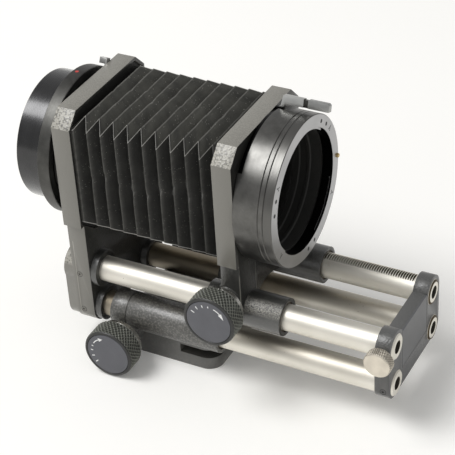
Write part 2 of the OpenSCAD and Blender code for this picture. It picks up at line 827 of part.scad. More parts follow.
// Clamping frame that lies in a seat round one end of the bellows, with its rear face at x
module clamp_frame(x) {
    inner_y = fold_out_y + clamp_gap;
    inner_z = fold_in_z + clamp_gap;
    facing_front(x, 0, 0) linear_extrude(clamp_t) difference() {
        bellows_seat_outline(clamp_gap);
        translate([0, bellows_z]) square([2 * inner_y, 2 * inner_z], center = true);
    }
}

module bellows_rear_frame() {
    color([0.1, 0.1, 0.1]) clamp_frame(bellows_rear_x);
}

module bellows_front_frame() {
    color([0.1, 0.1, 0.1]) clamp_frame(bellows_front_x - clamp_t);
}

// Corners of the bellows at fold edge number i, at x, drawn in by the wall w
function fold_ring(i, x, w) =
    let (a = (i % 2 == 0 ? fold_out_y : fold_in_y) - w,
         b = (i % 2 == 0 ? fold_in_z : fold_out_z) - w)
    [[x, -a, -b], [x, a, -b], [x, a, b], [x, -a, b]];

// Closed pleated form with a straight collar in each seat, run out by extra at both ends
module pleats(w, extra) {
    edges = 2 * folds;
    step = bellows_len / edges;
    rings = concat(
        [fold_ring(0, bellows_rear_x - extra, w)],
        [for (i = [0 : edges]) fold_ring(i, rear_face_x + i * step, w)],
        [fold_ring(edges, bellows_front_x + extra, w)]
    );
    n = len(rings[0]);
    last = n * len(rings) - 1;
    sides = [
        for (i = [1 : len(rings) - 1]) for (k = [0 : n - 1])
            let (j = (k + 1) % n)
            [n * (i - 1) + k, n * i + k, n * i + j, n * (i - 1) + j]
    ];
    caps = [[for (k = [0 : n - 1]) k], [for (k = [0 : n - 1]) last - k]];
    translate([0, 0, bellows_z])
        polyhedron(points = [for (r = rings) for (p = r) p], faces = concat(sides, caps));
}

module bellows() {
    color([0.12, 0.12, 0.12]) difference() {
        pleats(0, 0);
        pleats(fold_wall, overrun);
    }
}

// Front mount

collar_x = mount_x + collar_start;
flange_x = collar_x + collar_len;
flange_len = mount_len - collar_start - collar_len;
barrel_r = mount_d / 2;
lever_ring_r = lever_ring_d / 2;
lever_ring_top = lever_ring_r + lever_ring_h;
pin_r = pin_d / 2;
pin_pos_r = pin_pcd / 2;
// Middle angles of the three pairs of face screws, seen from the front
face_pairs = [50.5, 162.8, -82.4];

module at_angle(r, a) {
    rotate([0, 0, a]) translate([r, 0, 0]) children();
}

module pin_hole(x, len) {
    facing_front(x - overrun, 0, axis_z) at_angle(pin_pos_r, pin_angle)
        cylinder(r = pin_r + shaft_play, h = len + 2 * overrun);
}

module face_screw_holes() {
    facing_front(mount_face_x - face_screw_len, 0, axis_z)
        for (a = face_pairs) for (s = [-1, 1])
            at_angle(face_screw_pcd / 2, a + s * face_screw_angle / 2)
                cylinder(d = face_screw_d, h = face_screw_len + overrun);
}

module front_barrel() {
    wall_r = lever_ring_top + lever_play;
    slot_from = lever_angle - asin(lever_bar_w / 2 / lever_ring_r) - lever_slot_spare;
    color([0.1, 0.1, 0.1]) difference() {
        facing_front(mount_x, 0, axis_z) difference() {
            bevelled_ring(barrel_r, barrel_bore_d / 2, collar_start, ring_bevel);
            translate([0, 0, -overrun])
                tube(wall_r, lever_ring_r - lever_play, lever_slot_w + overrun);
            translate([0, 0, -overrun]) linear_extrude(lever_slot_w + overrun) difference() {
                slice(barrel_r, slot_from, lever_slot_end);
                circle(r = lever_ring_r);
            }
        }
        pin_hole(mount_face_x + pin_out - pin_len - pin_travel, pin_len);
    }
}

module front_collar() {
    color([0.12, 0.12, 0.12]) difference() {
        facing_front(collar_x, 0, axis_z)
            bevelled_ring(barrel_r, barrel_bore_d / 2, collar_len, ring_bevel);
        pin_hole(collar_x, collar_len);
        face_screw_holes();
    }
}

module claw_ring() {
    depth_z = flange_len - claw_depth - claw_t;
    step = 360 / claw_count;
    translate([0, 0, depth_z]) linear_extrude(claw_t) difference() {
        circle(r = mouth_d / 2 + overrun);
        circle(d = claw_d);
        for (i = [0 : claw_count - 1])
            slice(mouth_d / 2, claw_angle + claw_span + i * step, claw_angle + (i + 1) * step);
    }
}

module front_flange() {
    color([0.55, 0.55, 0.56]) difference() {
        facing_front(flange_x, 0, axis_z) {
            bevelled_ring(barrel_r, mouth_d / 2, flange_len, ring_bevel);
            claw_ring();
        }
        pin_hole(flange_x, flange_len);
        face_screw_holes();
    }
}

module front_face_screws() {
    color([0.15, 0.15, 0.15]) facing_front(mount_face_x - face_screw_len, 0, axis_z)
        for (a = face_pairs) for (s = [-1, 1])
            at_angle(face_screw_pcd / 2, a + s * face_screw_angle / 2)
                cylinder(d = face_screw_d - 2 * seat_gap, h = face_screw_len - seat_gap);
}

// Light baffle: a tube with two shallow steps in its bore
module front_baffle() {
    out = barrel_bore_d / 2 - seat_gap;
    bore = out - baffle_wall;
    rib = bore - baffle_wall / 2;
    color([0.05, 0.05, 0.05]) facing_front(mount_x, 0, axis_z) rotate_extrude() polygon([
        [rib, 0], [out, 0], [out, baffle_len], [bore, baffle_len],
        [bore, baffle_len * 0.62], [rib, baffle_len * 0.58], [rib, baffle_len * 0.5],
        [bore, baffle_len * 0.46], [bore, baffle_len * 0.22], [rib, baffle_len * 0.18]
    ]);
}

// Levers

// Flat piece of a lever with the outline pts, given as height from the axis and place along it
module lever_plate(a, pts) {
    rotate([0, 0, a]) translate([0, lever_bar_w / 2, 0]) rotate([90, 0, 0])
        linear_extrude(lever_bar_w) polygon(pts);
}

module front_lever() {
    ring_len = lever_slot_w - 2 * face_gap;
    bar_len = lever_reach - face_gap;
    bar_z = lever_bar_start - face_gap;
    foot_z = bar_z - lever_lean;
    notch_z = bar_len - lever_notch_back - lever_notch_len;
    root_r = (lever_ring_r + lever_ring_top) / 2;
    low_r = barrel_r + 2 * face_gap;
    bar_r = lever_top_r - lever_bar_h;
    color([0.45, 0.45, 0.45]) facing_front(mount_x + face_gap, 0, axis_z) difference() {
        union() {
            tube(lever_ring_top, lever_ring_r, ring_len);
            lever_plate(lever_angle, [
                [root_r, 0], [low_r, 0], [low_r + lever_lean, foot_z], [lever_top_r, bar_z],
                [lever_top_r, bar_len], [bar_r, bar_len], [bar_r, bar_z + lever_plate_t],
                [low_r, foot_z + lever_plate_t], [low_r, ring_len], [root_r, ring_len]
            ]);
        }
        rotate([0, 0, lever_angle]) {
            translate([lever_top_r - lever_bar_h - overrun, lever_bar_w / 2 - lever_notch_depth, notch_z])
                cube([lever_bar_h + 2 * overrun, lever_notch_depth + overrun, lever_notch_len]);
            translate([lever_top_r - lever_notch_depth, -lever_bar_w, notch_z])
                cube([lever_notch_depth + overrun, 2 * lever_bar_w, lever_notch_len]);
            translate([lever_top_r, 0, bar_len]) rotate([0, 45, 0])
                cube([lever_tip_bevel, 2 * lever_bar_w, lever_tip_bevel], center = true);
        }
    }
}

module front_locking_pin() {
    color("goldenrod") facing_front(mount_face_x + pin_out - pin_len, 0, axis_z)
        at_angle(pin_pos_r, pin_angle) rotate_extrude() polygon([
            [0, 0], [pin_r, 0], [pin_r, pin_len - ring_bevel],
            [pin_r - ring_bevel, pin_len], [0, pin_len]
        ]);
}

module rear_lever() {
    ring_r = rear_lever_ring_d / 2;
    ring_len = hub_len - 3 * face_gap;
    root_r = ring_r - rear_lever_wall / 2;
    bar_r = rear_lever_top_r - rear_lever_bar_h;
    bar_len = rear_lever_reach - face_gap;
    color([0.45, 0.45, 0.45]) translate([rear_std_x - face_gap, 0, axis_z])
        mirror([1, 0, 0]) rotate([90, 0, 90]) {
            tube(ring_r, ring_r - rear_lever_wall, ring_len);
            lever_plate(rear_lever_angle, [
                [root_r, 0], [rear_lever_top_r, 0], [rear_lever_top_r, bar_len], [bar_r, bar_len],
                [bar_r, rear_lever_plate_t], [root_r, rear_lever_plate_t]
            ]);
        }
}

// Rear mount

hub_x = rear_std_x - hub_len;
rear_lever_seat_r = rear_lever_ring_d / 2 - rear_lever_wall - lever_play;
turn_ring_x = hub_x - face_gap - turn_ring_len;
spigot_r = spigot_d / 2;
retainer_r = spigot_r + retainer_lip;
spigot_len = turn_ring_len * spigot_share;
retainer_x = hub_x - spigot_len - retainer_t;
tube_x = turn_ring_x - tube_len;

module rear_hub() {
    color([0.1, 0.1, 0.1]) {
        facing_front(hub_x, 0, axis_z) tube(rear_lever_seat_r, throat_d / 2, hub_len);
        facing_front(hub_x - spigot_len, 0, axis_z) tube(spigot_r, throat_d / 2, spigot_len + overrun);
    }
}

module rear_retainer() {
    color("gray") facing_front(retainer_x, 0, axis_z)
        tube(retainer_r, throat_d / 2, retainer_t);
}

module rear_turn_ring() {
    seat_len = spigot_len - 2 * face_gap;
    color([0.1, 0.1, 0.1]) difference() {
        facing_front(turn_ring_x, 0, axis_z)
            bevelled_ring(turn_ring_d / 2, spigot_r + lever_play, turn_ring_len, ring_bevel);
        facing_front(turn_ring_x - overrun, 0, axis_z)
            cylinder(r = retainer_r + face_gap, h = turn_ring_len + overrun - seat_len);
        facing_front(turn_ring_x + turn_ring_len / 4, 0, axis_z)
            rotate([0, 0, dot_angle]) translate([turn_ring_d / 2 - overrun, 0, dot_d / 2])
                rotate([0, 90, 0]) cylinder(d = dot_d, h = 2 * overrun);
    }
}

module rear_index_dot() {
    color("red") facing_front(turn_ring_x + turn_ring_len / 4, 0, axis_z)
        rotate([0, 0, dot_angle]) translate([turn_ring_d / 2 - overrun, 0, dot_d / 2])
            rotate([0, 90, 0]) cylinder(d = dot_d - 2 * seat_gap, h = overrun);
}

// Adapter tube with a spigot that enters the turning ring's pocket
module rear_tube() {
    inner_r = tube_d / 2 - tube_wall;
    seat_r = retainer_r + face_gap - seat_gap;
    seat_len = retainer_x - turn_ring_x - 2 * face_gap;
    color([0.08, 0.08, 0.08]) facing_front(tube_x, 0, axis_z) difference() {
        union() {
            bevelled_ring(tube_d / 2, inner_r, tube_len, ring_bevel);
            tube(seat_r, inner_r, tube_len + seat_len);
        }
        translate([0, 0, -overrun])
            cylinder(r = tube_d / 2 - tube_wall / 2, h = rear_flange_t + overrun);
    }
}

module rear_flange() {
    color("silver") facing_front(tube_x, 0, axis_z)
        bevelled_ring(tube_d / 2 - tube_wall / 2 - seat_gap, rear_mouth_d / 2, rear_flange_t, seat_gap);
}

// Drives

function tooth_half(r) = (rack_pitch - rack_backlash) / 4 - (r - pinion_r) * tan(flank_angle);

// Corner of the tooth at angle a: radius r, side s
function tooth_point(a, r, s) =
    let (h = s * tooth_half(r), y = sqrt(r * r - h * h))
    [h * cos(a) - y * sin(a), h * sin(a) + y * cos(a)];

module pinion_outline() {
    tip = pinion_r + pinion_addendum;
    root = pinion_r - pinion_dedendum;
    difference() {
        polygon([
            for (i = [0 : pinion_teeth - 1])
                for (p = [[root, 1], [tip, 1], [tip, -1], [root, -1]])
                    tooth_point(i * 360 / pinion_teeth, p[0], p[1])
        ]);
        circle(r = shaft_r + seat_gap);
    }
}

module drive_pinion(x, z) {
    facing_far(x, rod_y - pinion_w / 2, z) linear_extrude(pinion_w) pinion_outline();
}

// Shaft from inside the near knob to inside the far knob
module drive_shaft(x, z, near_knob_y) {
    near_end = near_knob_y + knob_shaft_in;
    facing_far(x, -near_end, z)
        cylinder(r = shaft_r, h = near_end + drive_knob_y + knob_shaft_in);
}

// Turned knob with its hub on z = 0 and its face out along z
module knob(hub_d, hub_len, bore_r) {
    r = knob_d / 2;
    face = hub_len + knob_len;
    recess_r = knob_cap_d / 2;
    bore = hub_len + knob_shaft_in + blind_gap;
    rotate_extrude() polygon([
        [bore_r, 0], [hub_d / 2, 0], [hub_d / 2, hub_len], [r - knob_bevel, hub_len],
        [r, hub_len + knob_bevel], [r, face - knob_bevel], [r - knob_bevel, face],
        [recess_r, face], [recess_r, face - knob_cap_t], [0, face - knob_cap_t],
        [0, bore], [bore_r, bore]
    ]);
}

module knob_cap() {
    cylinder(r = knob_cap_d / 2 - seat_gap, h = knob_cap_t);
}

module lock_knob(x, knob_y, z) {
    facing_near(x, -knob_y + knob_hub_len, z) knob(knob_hub_d, knob_hub_len, shaft_r + shaft_play);
}

module lock_cap(x, knob_y, z) {
    facing_near(x, -knob_y - knob_len + knob_cap_t, z) knob_cap();
}

module drive_knob(x, z) {
    hub_len = drive_knob_y - far_neck_y - 2 * face_gap;
    facing_far(x, drive_knob_y - hub_len, z) knob(drive_hub_d, hub_len, shaft_r + seat_gap);
}

module drive_cap(x, z) {
    facing_far(x, drive_knob_y + knob_len - knob_cap_t, z) knob_cap();
}

module focus_shaft() {
    color("silver") drive_shaft(focus_shaft_x, focus_shaft_z, focus_knob_y);
}

module focus_pinion() {
    color("goldenrod") drive_pinion(focus_shaft_x, focus_shaft_z);
}

module focus_drive_knob() {
    color([0.3, 0.3, 0.3]) drive_knob(focus_shaft_x, focus_shaft_z);
}

module focus_drive_cap() {
    color([0.37, 0.37, 0.4]) drive_cap(focus_shaft_x, focus_shaft_z);
}

module focus_lock_knob() {
    color([0.3, 0.3, 0.3]) lock_knob(focus_shaft_x, focus_knob_y, focus_shaft_z);
}

module focus_lock_cap() {
    color([0.37, 0.37, 0.4]) lock_cap(focus_shaft_x, focus_knob_y, focus_shaft_z);
}

module front_shaft() {
    color("silver") drive_shaft(front_shaft_x, front_shaft_z, front_knob_y);
}

module front_pinion() {
    color("goldenrod") drive_pinion(front_shaft_x, front_shaft_z);
}

module front_drive_knob() {
    color([0.3, 0.3, 0.3]) drive_knob(front_shaft_x, front_shaft_z);
}

module front_drive_cap() {
    color([0.37, 0.37, 0.4]) drive_cap(front_shaft_x, front_shaft_z);
}

module front_lock_knob() {
    color([0.3, 0.3, 0.3]) lock_knob(front_shaft_x, front_knob_y, front_shaft_z);
}

module front_lock_cap() {
    color([0.37, 0.37, 0.4]) lock_cap(front_shaft_x, front_knob_y, front_shaft_z);
}

module thumb_screw() {
    shank = thumb_y - rod_y - rod_r - face_gap;
    color([0.75, 0.73, 0.66]) facing_near(thumb_x, -thumb_y + shank, rod_upper_z) {
        cylinder(d = thumb_shank_d, h = shank + overrun);
        translate([0, 0, shank]) bevelled_ring(thumb_d / 2, 0, thumb_len, ring_bevel);
    }
}

carriage_casting();
carriage_bushes();
focus_lock_washer();
focus_bearing();
rod_upper_near();
rod_upper_far();
rod_lower_near();
rod_lower_far();
end_plate();
end_panel();
end_grub_screws();
rear_standard();
rear_grub_screws();
rear_hub();
rear_retainer();
bellows_rear_frame();
bellows();
bellows_front_frame();
rear_turn_ring();
rear_index_dot();
rear_tube();
rear_flange();
front_standard();
front_bushes();
front_lock_washer();
front_bearing();
front_barrel();
front_collar();
front_flange();
front_face_screws();
front_baffle();
focus_shaft();
focus_pinion();
focus_drive_knob();
focus_drive_cap();
focus_lock_knob();
focus_lock_cap();
front_shaft();
front_pinion();
front_drive_knob();
front_drive_cap();
front_lock_knob();
front_lock_cap();
thumb_screw();
front_lever();
front_locking_pin();
rear_lever();
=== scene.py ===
import math
import random

import bmesh
import bpy
from mathutils import Matrix, Vector


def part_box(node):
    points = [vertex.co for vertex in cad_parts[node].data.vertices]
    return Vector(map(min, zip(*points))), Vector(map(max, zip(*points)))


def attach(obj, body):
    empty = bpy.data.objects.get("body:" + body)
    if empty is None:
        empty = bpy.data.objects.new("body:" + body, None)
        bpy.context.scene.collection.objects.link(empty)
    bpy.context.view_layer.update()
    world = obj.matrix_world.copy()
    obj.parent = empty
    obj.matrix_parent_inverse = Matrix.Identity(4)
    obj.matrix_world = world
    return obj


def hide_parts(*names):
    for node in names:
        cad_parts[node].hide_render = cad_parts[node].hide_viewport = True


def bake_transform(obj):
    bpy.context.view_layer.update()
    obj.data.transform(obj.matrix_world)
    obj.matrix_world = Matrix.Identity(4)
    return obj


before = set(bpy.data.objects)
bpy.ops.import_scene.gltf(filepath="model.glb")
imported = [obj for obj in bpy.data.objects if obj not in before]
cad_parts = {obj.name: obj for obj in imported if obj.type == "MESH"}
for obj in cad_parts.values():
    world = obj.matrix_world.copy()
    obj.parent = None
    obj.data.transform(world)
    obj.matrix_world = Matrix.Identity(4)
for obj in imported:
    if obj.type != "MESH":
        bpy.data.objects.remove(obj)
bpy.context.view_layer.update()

MM = 0.001
TAU = 2 * math.pi

# Places that the frame gives
NEAR_ROD_LOW, NEAR_ROD_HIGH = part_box("rod_upper_near")
LOWER_ROD_LOW, LOWER_ROD_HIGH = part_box("rod_lower_near")
ROD_RADIUS = (NEAR_ROD_HIGH.z - NEAR_ROD_LOW.z) / 2
ROD_Y = -(NEAR_ROD_LOW.y + NEAR_ROD_HIGH.y) / 2
UPPER_ROD_Z = (NEAR_ROD_LOW.z + NEAR_ROD_HIGH.z) / 2
LOWER_ROD_Z = (LOWER_ROD_LOW.z + LOWER_ROD_HIGH.z) / 2
FLANGE_LOW, FLANGE_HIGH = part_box("front_flange")
AXIS_Z = (FLANGE_LOW.z + FLANGE_HIGH.z) / 2
MOUNT_RADIUS = (FLANGE_HIGH.z - FLANGE_LOW.z) / 2
LEVER_END_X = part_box("front_lever")[1].x
REAR_BOSS_LENGTH = 3 * MM
REAR_FACE_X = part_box("rear_standard")[1].x - REAR_BOSS_LENGTH

# Places on the castings, as the part's source has them
BORE_RADIUS = 31.9 * MM
ROD_BORE_RADIUS = 3.05 * MM
RACK_DEPTH = 1.2 * MM
REAR_STEM_TOP_Z = 60 * MM
FRONT_STEM_TOP_Z = 70 * MM
FOOT_TOP_Z = 13 * MM
STEM_SEAM_X = -43.6 * MM
LEG_FACE_X = 42.0 * MM
LEG_EDGES_Y = (30.3 * MM, 15.2 * MM)

# How far the floor glows for the camera and in reflections, so that it shows white
FLOOR_GLOW = 0.10


# Node graphs

class Graph:
    """Adds nodes to a tree and feeds their sockets with values or links."""

    def __init__(self, tree):
        self.tree = tree

    def feed(self, socket, value):
        if isinstance(value, bpy.types.NodeSocket):
            self.tree.links.new(value, socket)
        else:
            socket.default_value = value

    def node(self, kind, inputs=None, **settings):
        made = self.tree.nodes.new(kind)
        for key, value in settings.items():
            setattr(made, key, value)
        for key, value in (inputs or {}).items():
            self.feed(made.inputs[key], value)
        return made

    def math(self, operation, *values):
        made = self.node("ShaderNodeMath", operation=operation)
        for socket, value in zip(made.inputs, values):
            self.feed(socket, value)
        return made.outputs[0]

    def times(self, first, *others):
        for other in others:
            first = self.math("MULTIPLY", first, other)
        return first

    def plus(self, one, other):
        return self.math("ADD", one, other)

    def minus(self, one, other):
        return self.math("SUBTRACT", one, other)

    def over(self, one, other):
        return self.math("DIVIDE", one, other)

    def most(self, one, other):
        return self.math("MAXIMUM", one, other)

    def above(self, value, limit):
        return self.math("GREATER_THAN", value, limit)

    def below(self, value, limit):
        return self.math("LESS_THAN", value, limit)

    def unsigned(self, value):
        return self.math("ABSOLUTE", value)

    def vector(self, x, y, z):
        return self.node("ShaderNodeCombineXYZ", {0: x, 1: y, 2: z}).outputs[0]

    def parts(self, vector):
        return self.node("ShaderNodeSeparateXYZ", {0: vector}).outputs

    def span(self, value, low, high, to_low=0.0, to_high=1.0):
        """The value from low to high, carried over to another range and held at its ends."""
        return self.node("ShaderNodeMapRange", {
            "Value": value, "From Min": low, "From Max": high,
            "To Min": to_low, "To Max": to_high}).outputs["Result"]

    def noise(self, place, size, detail=2.0, rough=0.5):
        """Soft noise with blotches about size metres across."""
        return self.node("ShaderNodeTexNoise", {
            "Vector": place, "Scale": 1 / size, "Detail": detail,
            "Roughness": rough}).outputs["Fac"]

    def cells(self, place, size, feature="F1"):
        """Distance to the nearest of scattered points about size metres apart."""
        return self.node("ShaderNodeTexVoronoi", {"Vector": place, "Scale": 1 / size},
                         feature=feature).outputs["Distance"]

    def blend(self, share, low, high):
        """Colour between two, each a colour or a socket."""
        made = self.node("ShaderNodeMix", data_type="RGBA")
        self.feed(made.inputs[0], share)
        for socket, value in ((made.inputs[6], low), (made.inputs[7], high)):
            if not isinstance(value, bpy.types.NodeSocket):
                value = (*value[:3], 1.0)
            self.feed(socket, value)
        return made.outputs[2]


class Finish(Graph):
    """A surface finish: one Principled shader, with its pattern on the object's own coordinates."""

    def __init__(self, name, rough, metallic=0.0, specular=0.5):
        self.material = bpy.data.materials.new(name)
        self.material.use_nodes = True
        super().__init__(self.material.node_tree)
        self.shader = self.tree.nodes["Principled BSDF"]
        self.place = self.node("ShaderNodeTexCoord").outputs["Object"]
        self.shader.inputs["Roughness"].default_value = rough
        self.shader.inputs["Metallic"].default_value = metallic
        self.shader.inputs["Specular IOR Level"].default_value = specular
        self.relief_end = None

    def read(self, attribute):
        return self.node("ShaderNodeAttribute", attribute_name=attribute).outputs["Fac"]

    def normal(self):
        return self.parts(self.node("ShaderNodeTexCoord").outputs["Normal"])

    def facing(self, axis):
        """1 where the surface faces along the object's axis, either way, and 0 square to it."""
        return self.unsigned(self.normal()[axis])

    def radius_about_x(self, centre_z, centre_y=0.0):
        """Distance from a line along X, or from its mirror image in Y on that side."""
        _, y, z = self.parts(self.place)
        from_y = self.minus(self.unsigned(y), centre_y)
        from_z = self.minus(z, centre_z)
        return self.math("SQRT", self.plus(self.times(from_y, from_y), self.times(from_z, from_z)))

    def clouded(self, tone, dark, size):
        """The tone in soft blotches of the given size, down to the dark share of it."""
        cloud = self.noise(self.place, size, detail=3)
        return self.blend(self.span(cloud, 0.3, 0.7), scaled(tone, dark), tone)

    def colour(self, value):
        self.feed(self.shader.inputs["Base Color"], value)

    def rough(self, value):
        self.feed(self.shader.inputs["Roughness"], value)

    def coat(self, weight, rough):
        self.shader.inputs["Coat Weight"].default_value = weight
        self.shader.inputs["Coat Roughness"].default_value = rough

    def relief(self, height, depth, strength=1.0):
        """Bump of the given depth in metres, laid over the bumps before it."""
        made = self.node("ShaderNodeBump", {
            "Height": height, "Distance": depth, "Strength": strength})
        if self.relief_end:
            self.feed(made.inputs["Normal"], self.relief_end)
        self.relief_end = made.outputs["Normal"]
        self.feed(self.shader.inputs["Normal"], self.relief_end)


def scaled(colour, factor):
    return [factor * c for c in colour]


# Finishes

def leg_lines_and_sleeve_glint(f, tone, light, stem):
    """Light lines on the corners of the front standard's legs, partly paint wear and partly painted
    highlight, and a painted highlight of bright specks on its near sleeve's top.
    """
    x, y, z = f.parts(f.place)
    at_face = f.span(f.unsigned(f.minus(x, LEG_FACE_X)), 0.45 * MM, 0.25 * MM)
    under_frame = f.span(z, FRONT_STEM_TOP_Z - 4 * MM, FRONT_STEM_TOP_Z - 6 * MM)
    # Leg edge lines: partly paint wear, partly painted highlight.
    for edge_y in LEG_EDGES_Y:
        off = f.unsigned(f.minus(f.unsigned(y), edge_y))
        line = f.times(at_face, f.span(off, 0.45 * MM, 0.22 * MM), under_frame)
        tone = f.blend(f.times(line, 0.75), tone, light)
    # Painted highlight: bright specks in a band where the near sleeve's top faces up and towards
    # the near side.
    _, normal_y, normal_z = f.normal()
    glint_y, glint_z = -0.67, 0.74
    glint_band = f.span(f.plus(f.times(normal_z, glint_z), f.times(normal_y, glint_y)), 0.86, 0.995)
    glint_grains = f.span(f.noise(f.place, 0.42 * MM), 0.42, 0.58)
    share = f.times(glint_band, stem, f.below(y, 0.0), glint_grains, 0.9)
    return f.blend(share, tone, scaled(light, 1.9))


def stem_seam(f, tone, light):
    """Faint mould seam on the sides of the rear standard's stem."""
    x, _, z = f.parts(f.place)
    line = f.span(f.unsigned(f.minus(x, STEM_SEAM_X)), 0.28 * MM, 0.12 * MM)
    side = f.above(f.facing(1), 0.8)
    share = f.times(line, side, f.below(z, REAR_STEM_TOP_Z), 0.45)
    return f.blend(share, tone, scaled(light, 1.9))


def hammered_paint(name, light, dark, glint_share=0.9, glint_low=0.72, stem_top=None,
                   stem_rear=-1.0, leg_lines_and_glint=False, seam=False):
    """Stove paint with a hammered grain. Faces along X are darker, and sides facing along Y are
    darker as painted shade.
    The chamfers carry a painted glint in flecks, and edges are lighter, partly from wear and partly
    as painted highlight.
    Below stem_top and ahead of stem_rear it is a coarse black coat, and bores are black."""
    rough, grain, depth = 0.36, 0.78 * MM, 0.22 * MM
    f = Finish(name, rough, specular=0.8)
    x, _, z = f.parts(f.place)
    hammer = f.cells(f.place, grain, feature="SMOOTH_F1")
    fine = f.noise(f.place, 0.75 * grain)
    cloud = f.noise(f.place, 14 * MM)
    shade = f.span(f.plus(f.times(fine, 0.8), f.times(cloud, 0.2)), 0.36, 0.64)
    mottle = f.blend(shade, scaled(light, 0.74), scaled(light, 1.10))
    # Painted shade: sides facing along Y take a darker tone.
    mottle = f.blend(f.span(f.facing(1), 0.6, 0.9), mottle, scaled(light, 0.74))
    # Painted highlight on the chamfers: bright flecks on a darker net, partly hammered paint wear
    # and partly painted glint.
    slope = f.span(f.times(f.facing(1), f.facing(2)), 0.30, 0.42)
    glint_flecks = f.span(hammer, 0.44, 0.60, 1.0, 0.0)
    mottle = f.blend(f.times(slope, glint_share), mottle,
                   f.blend(glint_flecks, scaled(light, glint_low), scaled(light, 1.60)))
    facing = f.span(f.facing(0), 0.55, 0.9)
    tone = f.blend(facing, mottle, dark)
    shine = f.blend(facing, (0.62, 0.62, 0.62), (0.13, 0.13, 0.13))
    f.coat(0.30, 0.26)
    if stem_top is not None:
        stem = f.times(f.span(z, stem_top, stem_top - 0.8 * MM), f.above(x, stem_rear))
        stem_side = f.times(stem, f.minus(1.0, facing))
        stem_tone = f.blend(shade, (0.024, 0.024, 0.022), (0.048, 0.048, 0.043))
        tone = f.blend(stem, tone, f.blend(facing, stem_tone, dark))
        shine = f.blend(stem_side, shine, (1.0, 1.0, 1.0))
        f.feed(f.shader.inputs["Coat Weight"], f.span(stem_side, 0.0, 1.0, 0.30, 1.0))
        f.relief(f.noise(f.place, 0.95 * MM, detail=3, rough=0.6), 0.24 * MM, f.times(stem, 0.8))
        f.relief(f.noise(f.place, 0.34 * MM), 0.09 * MM, stem)
    if leg_lines_and_glint:
        tone = leg_lines_and_sleeve_glint(f, tone, light, stem)
    # Rounded edges lighter: partly paint wear, partly painted highlight.
    rubbed_and_lit = f.times(f.read("edge"), f.span(cloud, 0.35, 0.6, 0.35, 0.8))
    tone = f.blend(rubbed_and_lit, tone, scaled(light, 1.5))
    if seam:
        tone = stem_seam(f, tone, light)
    bore = f.below(f.radius_about_x(AXIS_Z), BORE_RADIUS)
    f.colour(f.blend(bore, tone, (0.012, 0.012, 0.011)))
    f.feed(f.shader.inputs["Specular Tint"], shine)
    f.rough(f.span(fine, 0.3, 0.7, rough - 0.08, rough + 0.1))
    f.relief(hammer, depth, f.plus(f.times(slope, 0.85), 0.15))
    f.relief(fine, 0.12 * depth, 0.7)
    return f.material


def textured_black(name):
    """Coarse wrinkle paint of the sleeves and the foot."""
    f = Finish(name, 0.4, specular=0.8)
    coarse = f.noise(f.place, 0.95 * MM, detail=3, rough=0.6)
    fine = f.noise(f.place, 0.28 * MM)
    cloud = f.noise(f.place, 9 * MM)
    base = f.blend(f.span(cloud, 0.35, 0.65), (0.040, 0.039, 0.035), (0.058, 0.056, 0.050))
    # Lighter raised points: partly wear of the wrinkle paint, partly painted sheen.
    tip_wear_and_sheen = f.span(coarse, 0.48, 0.64)
    above_foot = f.span(f.parts(f.place)[2], FOOT_TOP_Z, FOOT_TOP_Z + 2 * MM, 0.1, 1.0)
    f.colour(f.blend(f.times(tip_wear_and_sheen, 0.55, above_foot), base, (0.20, 0.195, 0.172)))
    f.rough(f.span(coarse, 0.35, 0.7, 0.5, 0.3))
    f.relief(coarse, 0.30 * MM, f.times(above_foot, 0.9))
    f.relief(fine, 0.10 * MM, f.times(above_foot, 0.9))
    f.coat(0.7, 0.26)
    return f.material


def satin_nickel(name, centre_z, shade_to, racked=False, dark_top=0.0):
    """Ground and nickel plated rod with faint turned lines, stains, specks and dark rack gaps.
    It is browned behind shade_to as painted shade and dark reflection, and dark_top is the share of
    a darker brown on its upper side."""
    f = Finish(name, 0.52, metallic=1.0)
    x, y, z = f.parts(f.place)
    lines = f.noise(f.vector(f.times(x, 5.0), f.times(y, 0.4), f.times(z, 0.4)), 0.6 * MM, detail=3)
    cloud = f.noise(f.place, 16 * MM)
    tone = f.blend(f.span(cloud, 0.3, 0.7), (0.76, 0.732, 0.660), (0.84, 0.812, 0.742))
    # Painted shade and dark reflection: browner and darker behind shade_to.
    rear = f.span(x, shade_to - 12 * MM, shade_to + 6 * MM, 1.0, 0.0)
    tone = f.blend(f.times(rear, 0.7), tone, (0.30, 0.245, 0.165))
    # Darker brown on the upper side by the share dark_top, less towards the front end.
    upper = f.times(f.span(f.normal()[2], 0.1, 0.75), f.span(x, 45 * MM, 95 * MM, 1.0, 0.45))
    tone = f.blend(f.times(upper, dark_top), tone, (0.20, 0.165, 0.11))
    stain = f.span(f.noise(f.place, 7 * MM, detail=4, rough=0.65), 0.64, 0.74)
    tone = f.blend(f.times(stain, 0.22), tone, (0.42, 0.35, 0.24))
    specks = f.times(f.span(f.cells(f.place, 1.9 * MM), 0.12, 0.07),
                     f.span(f.noise(f.place, 8 * MM), 0.58, 0.62))
    tone = f.blend(f.times(specks, 0.85), tone, (0.16, 0.12, 0.08))
    radius = f.radius_about_x(centre_z, ROD_Y)
    if racked:
        gap = f.times(f.span(radius, ROD_RADIUS - 0.20 * MM, ROD_RADIUS - 0.03 * MM, 1.0, 0.0),
                      f.above(radius, ROD_RADIUS - RACK_DEPTH))
        tone = f.blend(gap, tone, (0.09, 0.068, 0.040))
    f.colour(f.blend(f.below(radius, ROD_BORE_RADIUS), tone, (0.16, 0.15, 0.125)))
    f.rough(f.span(lines, 0.25, 0.75, 0.49, 0.56))
    f.relief(lines, 0.002 * MM, 0.3)
    return f.material


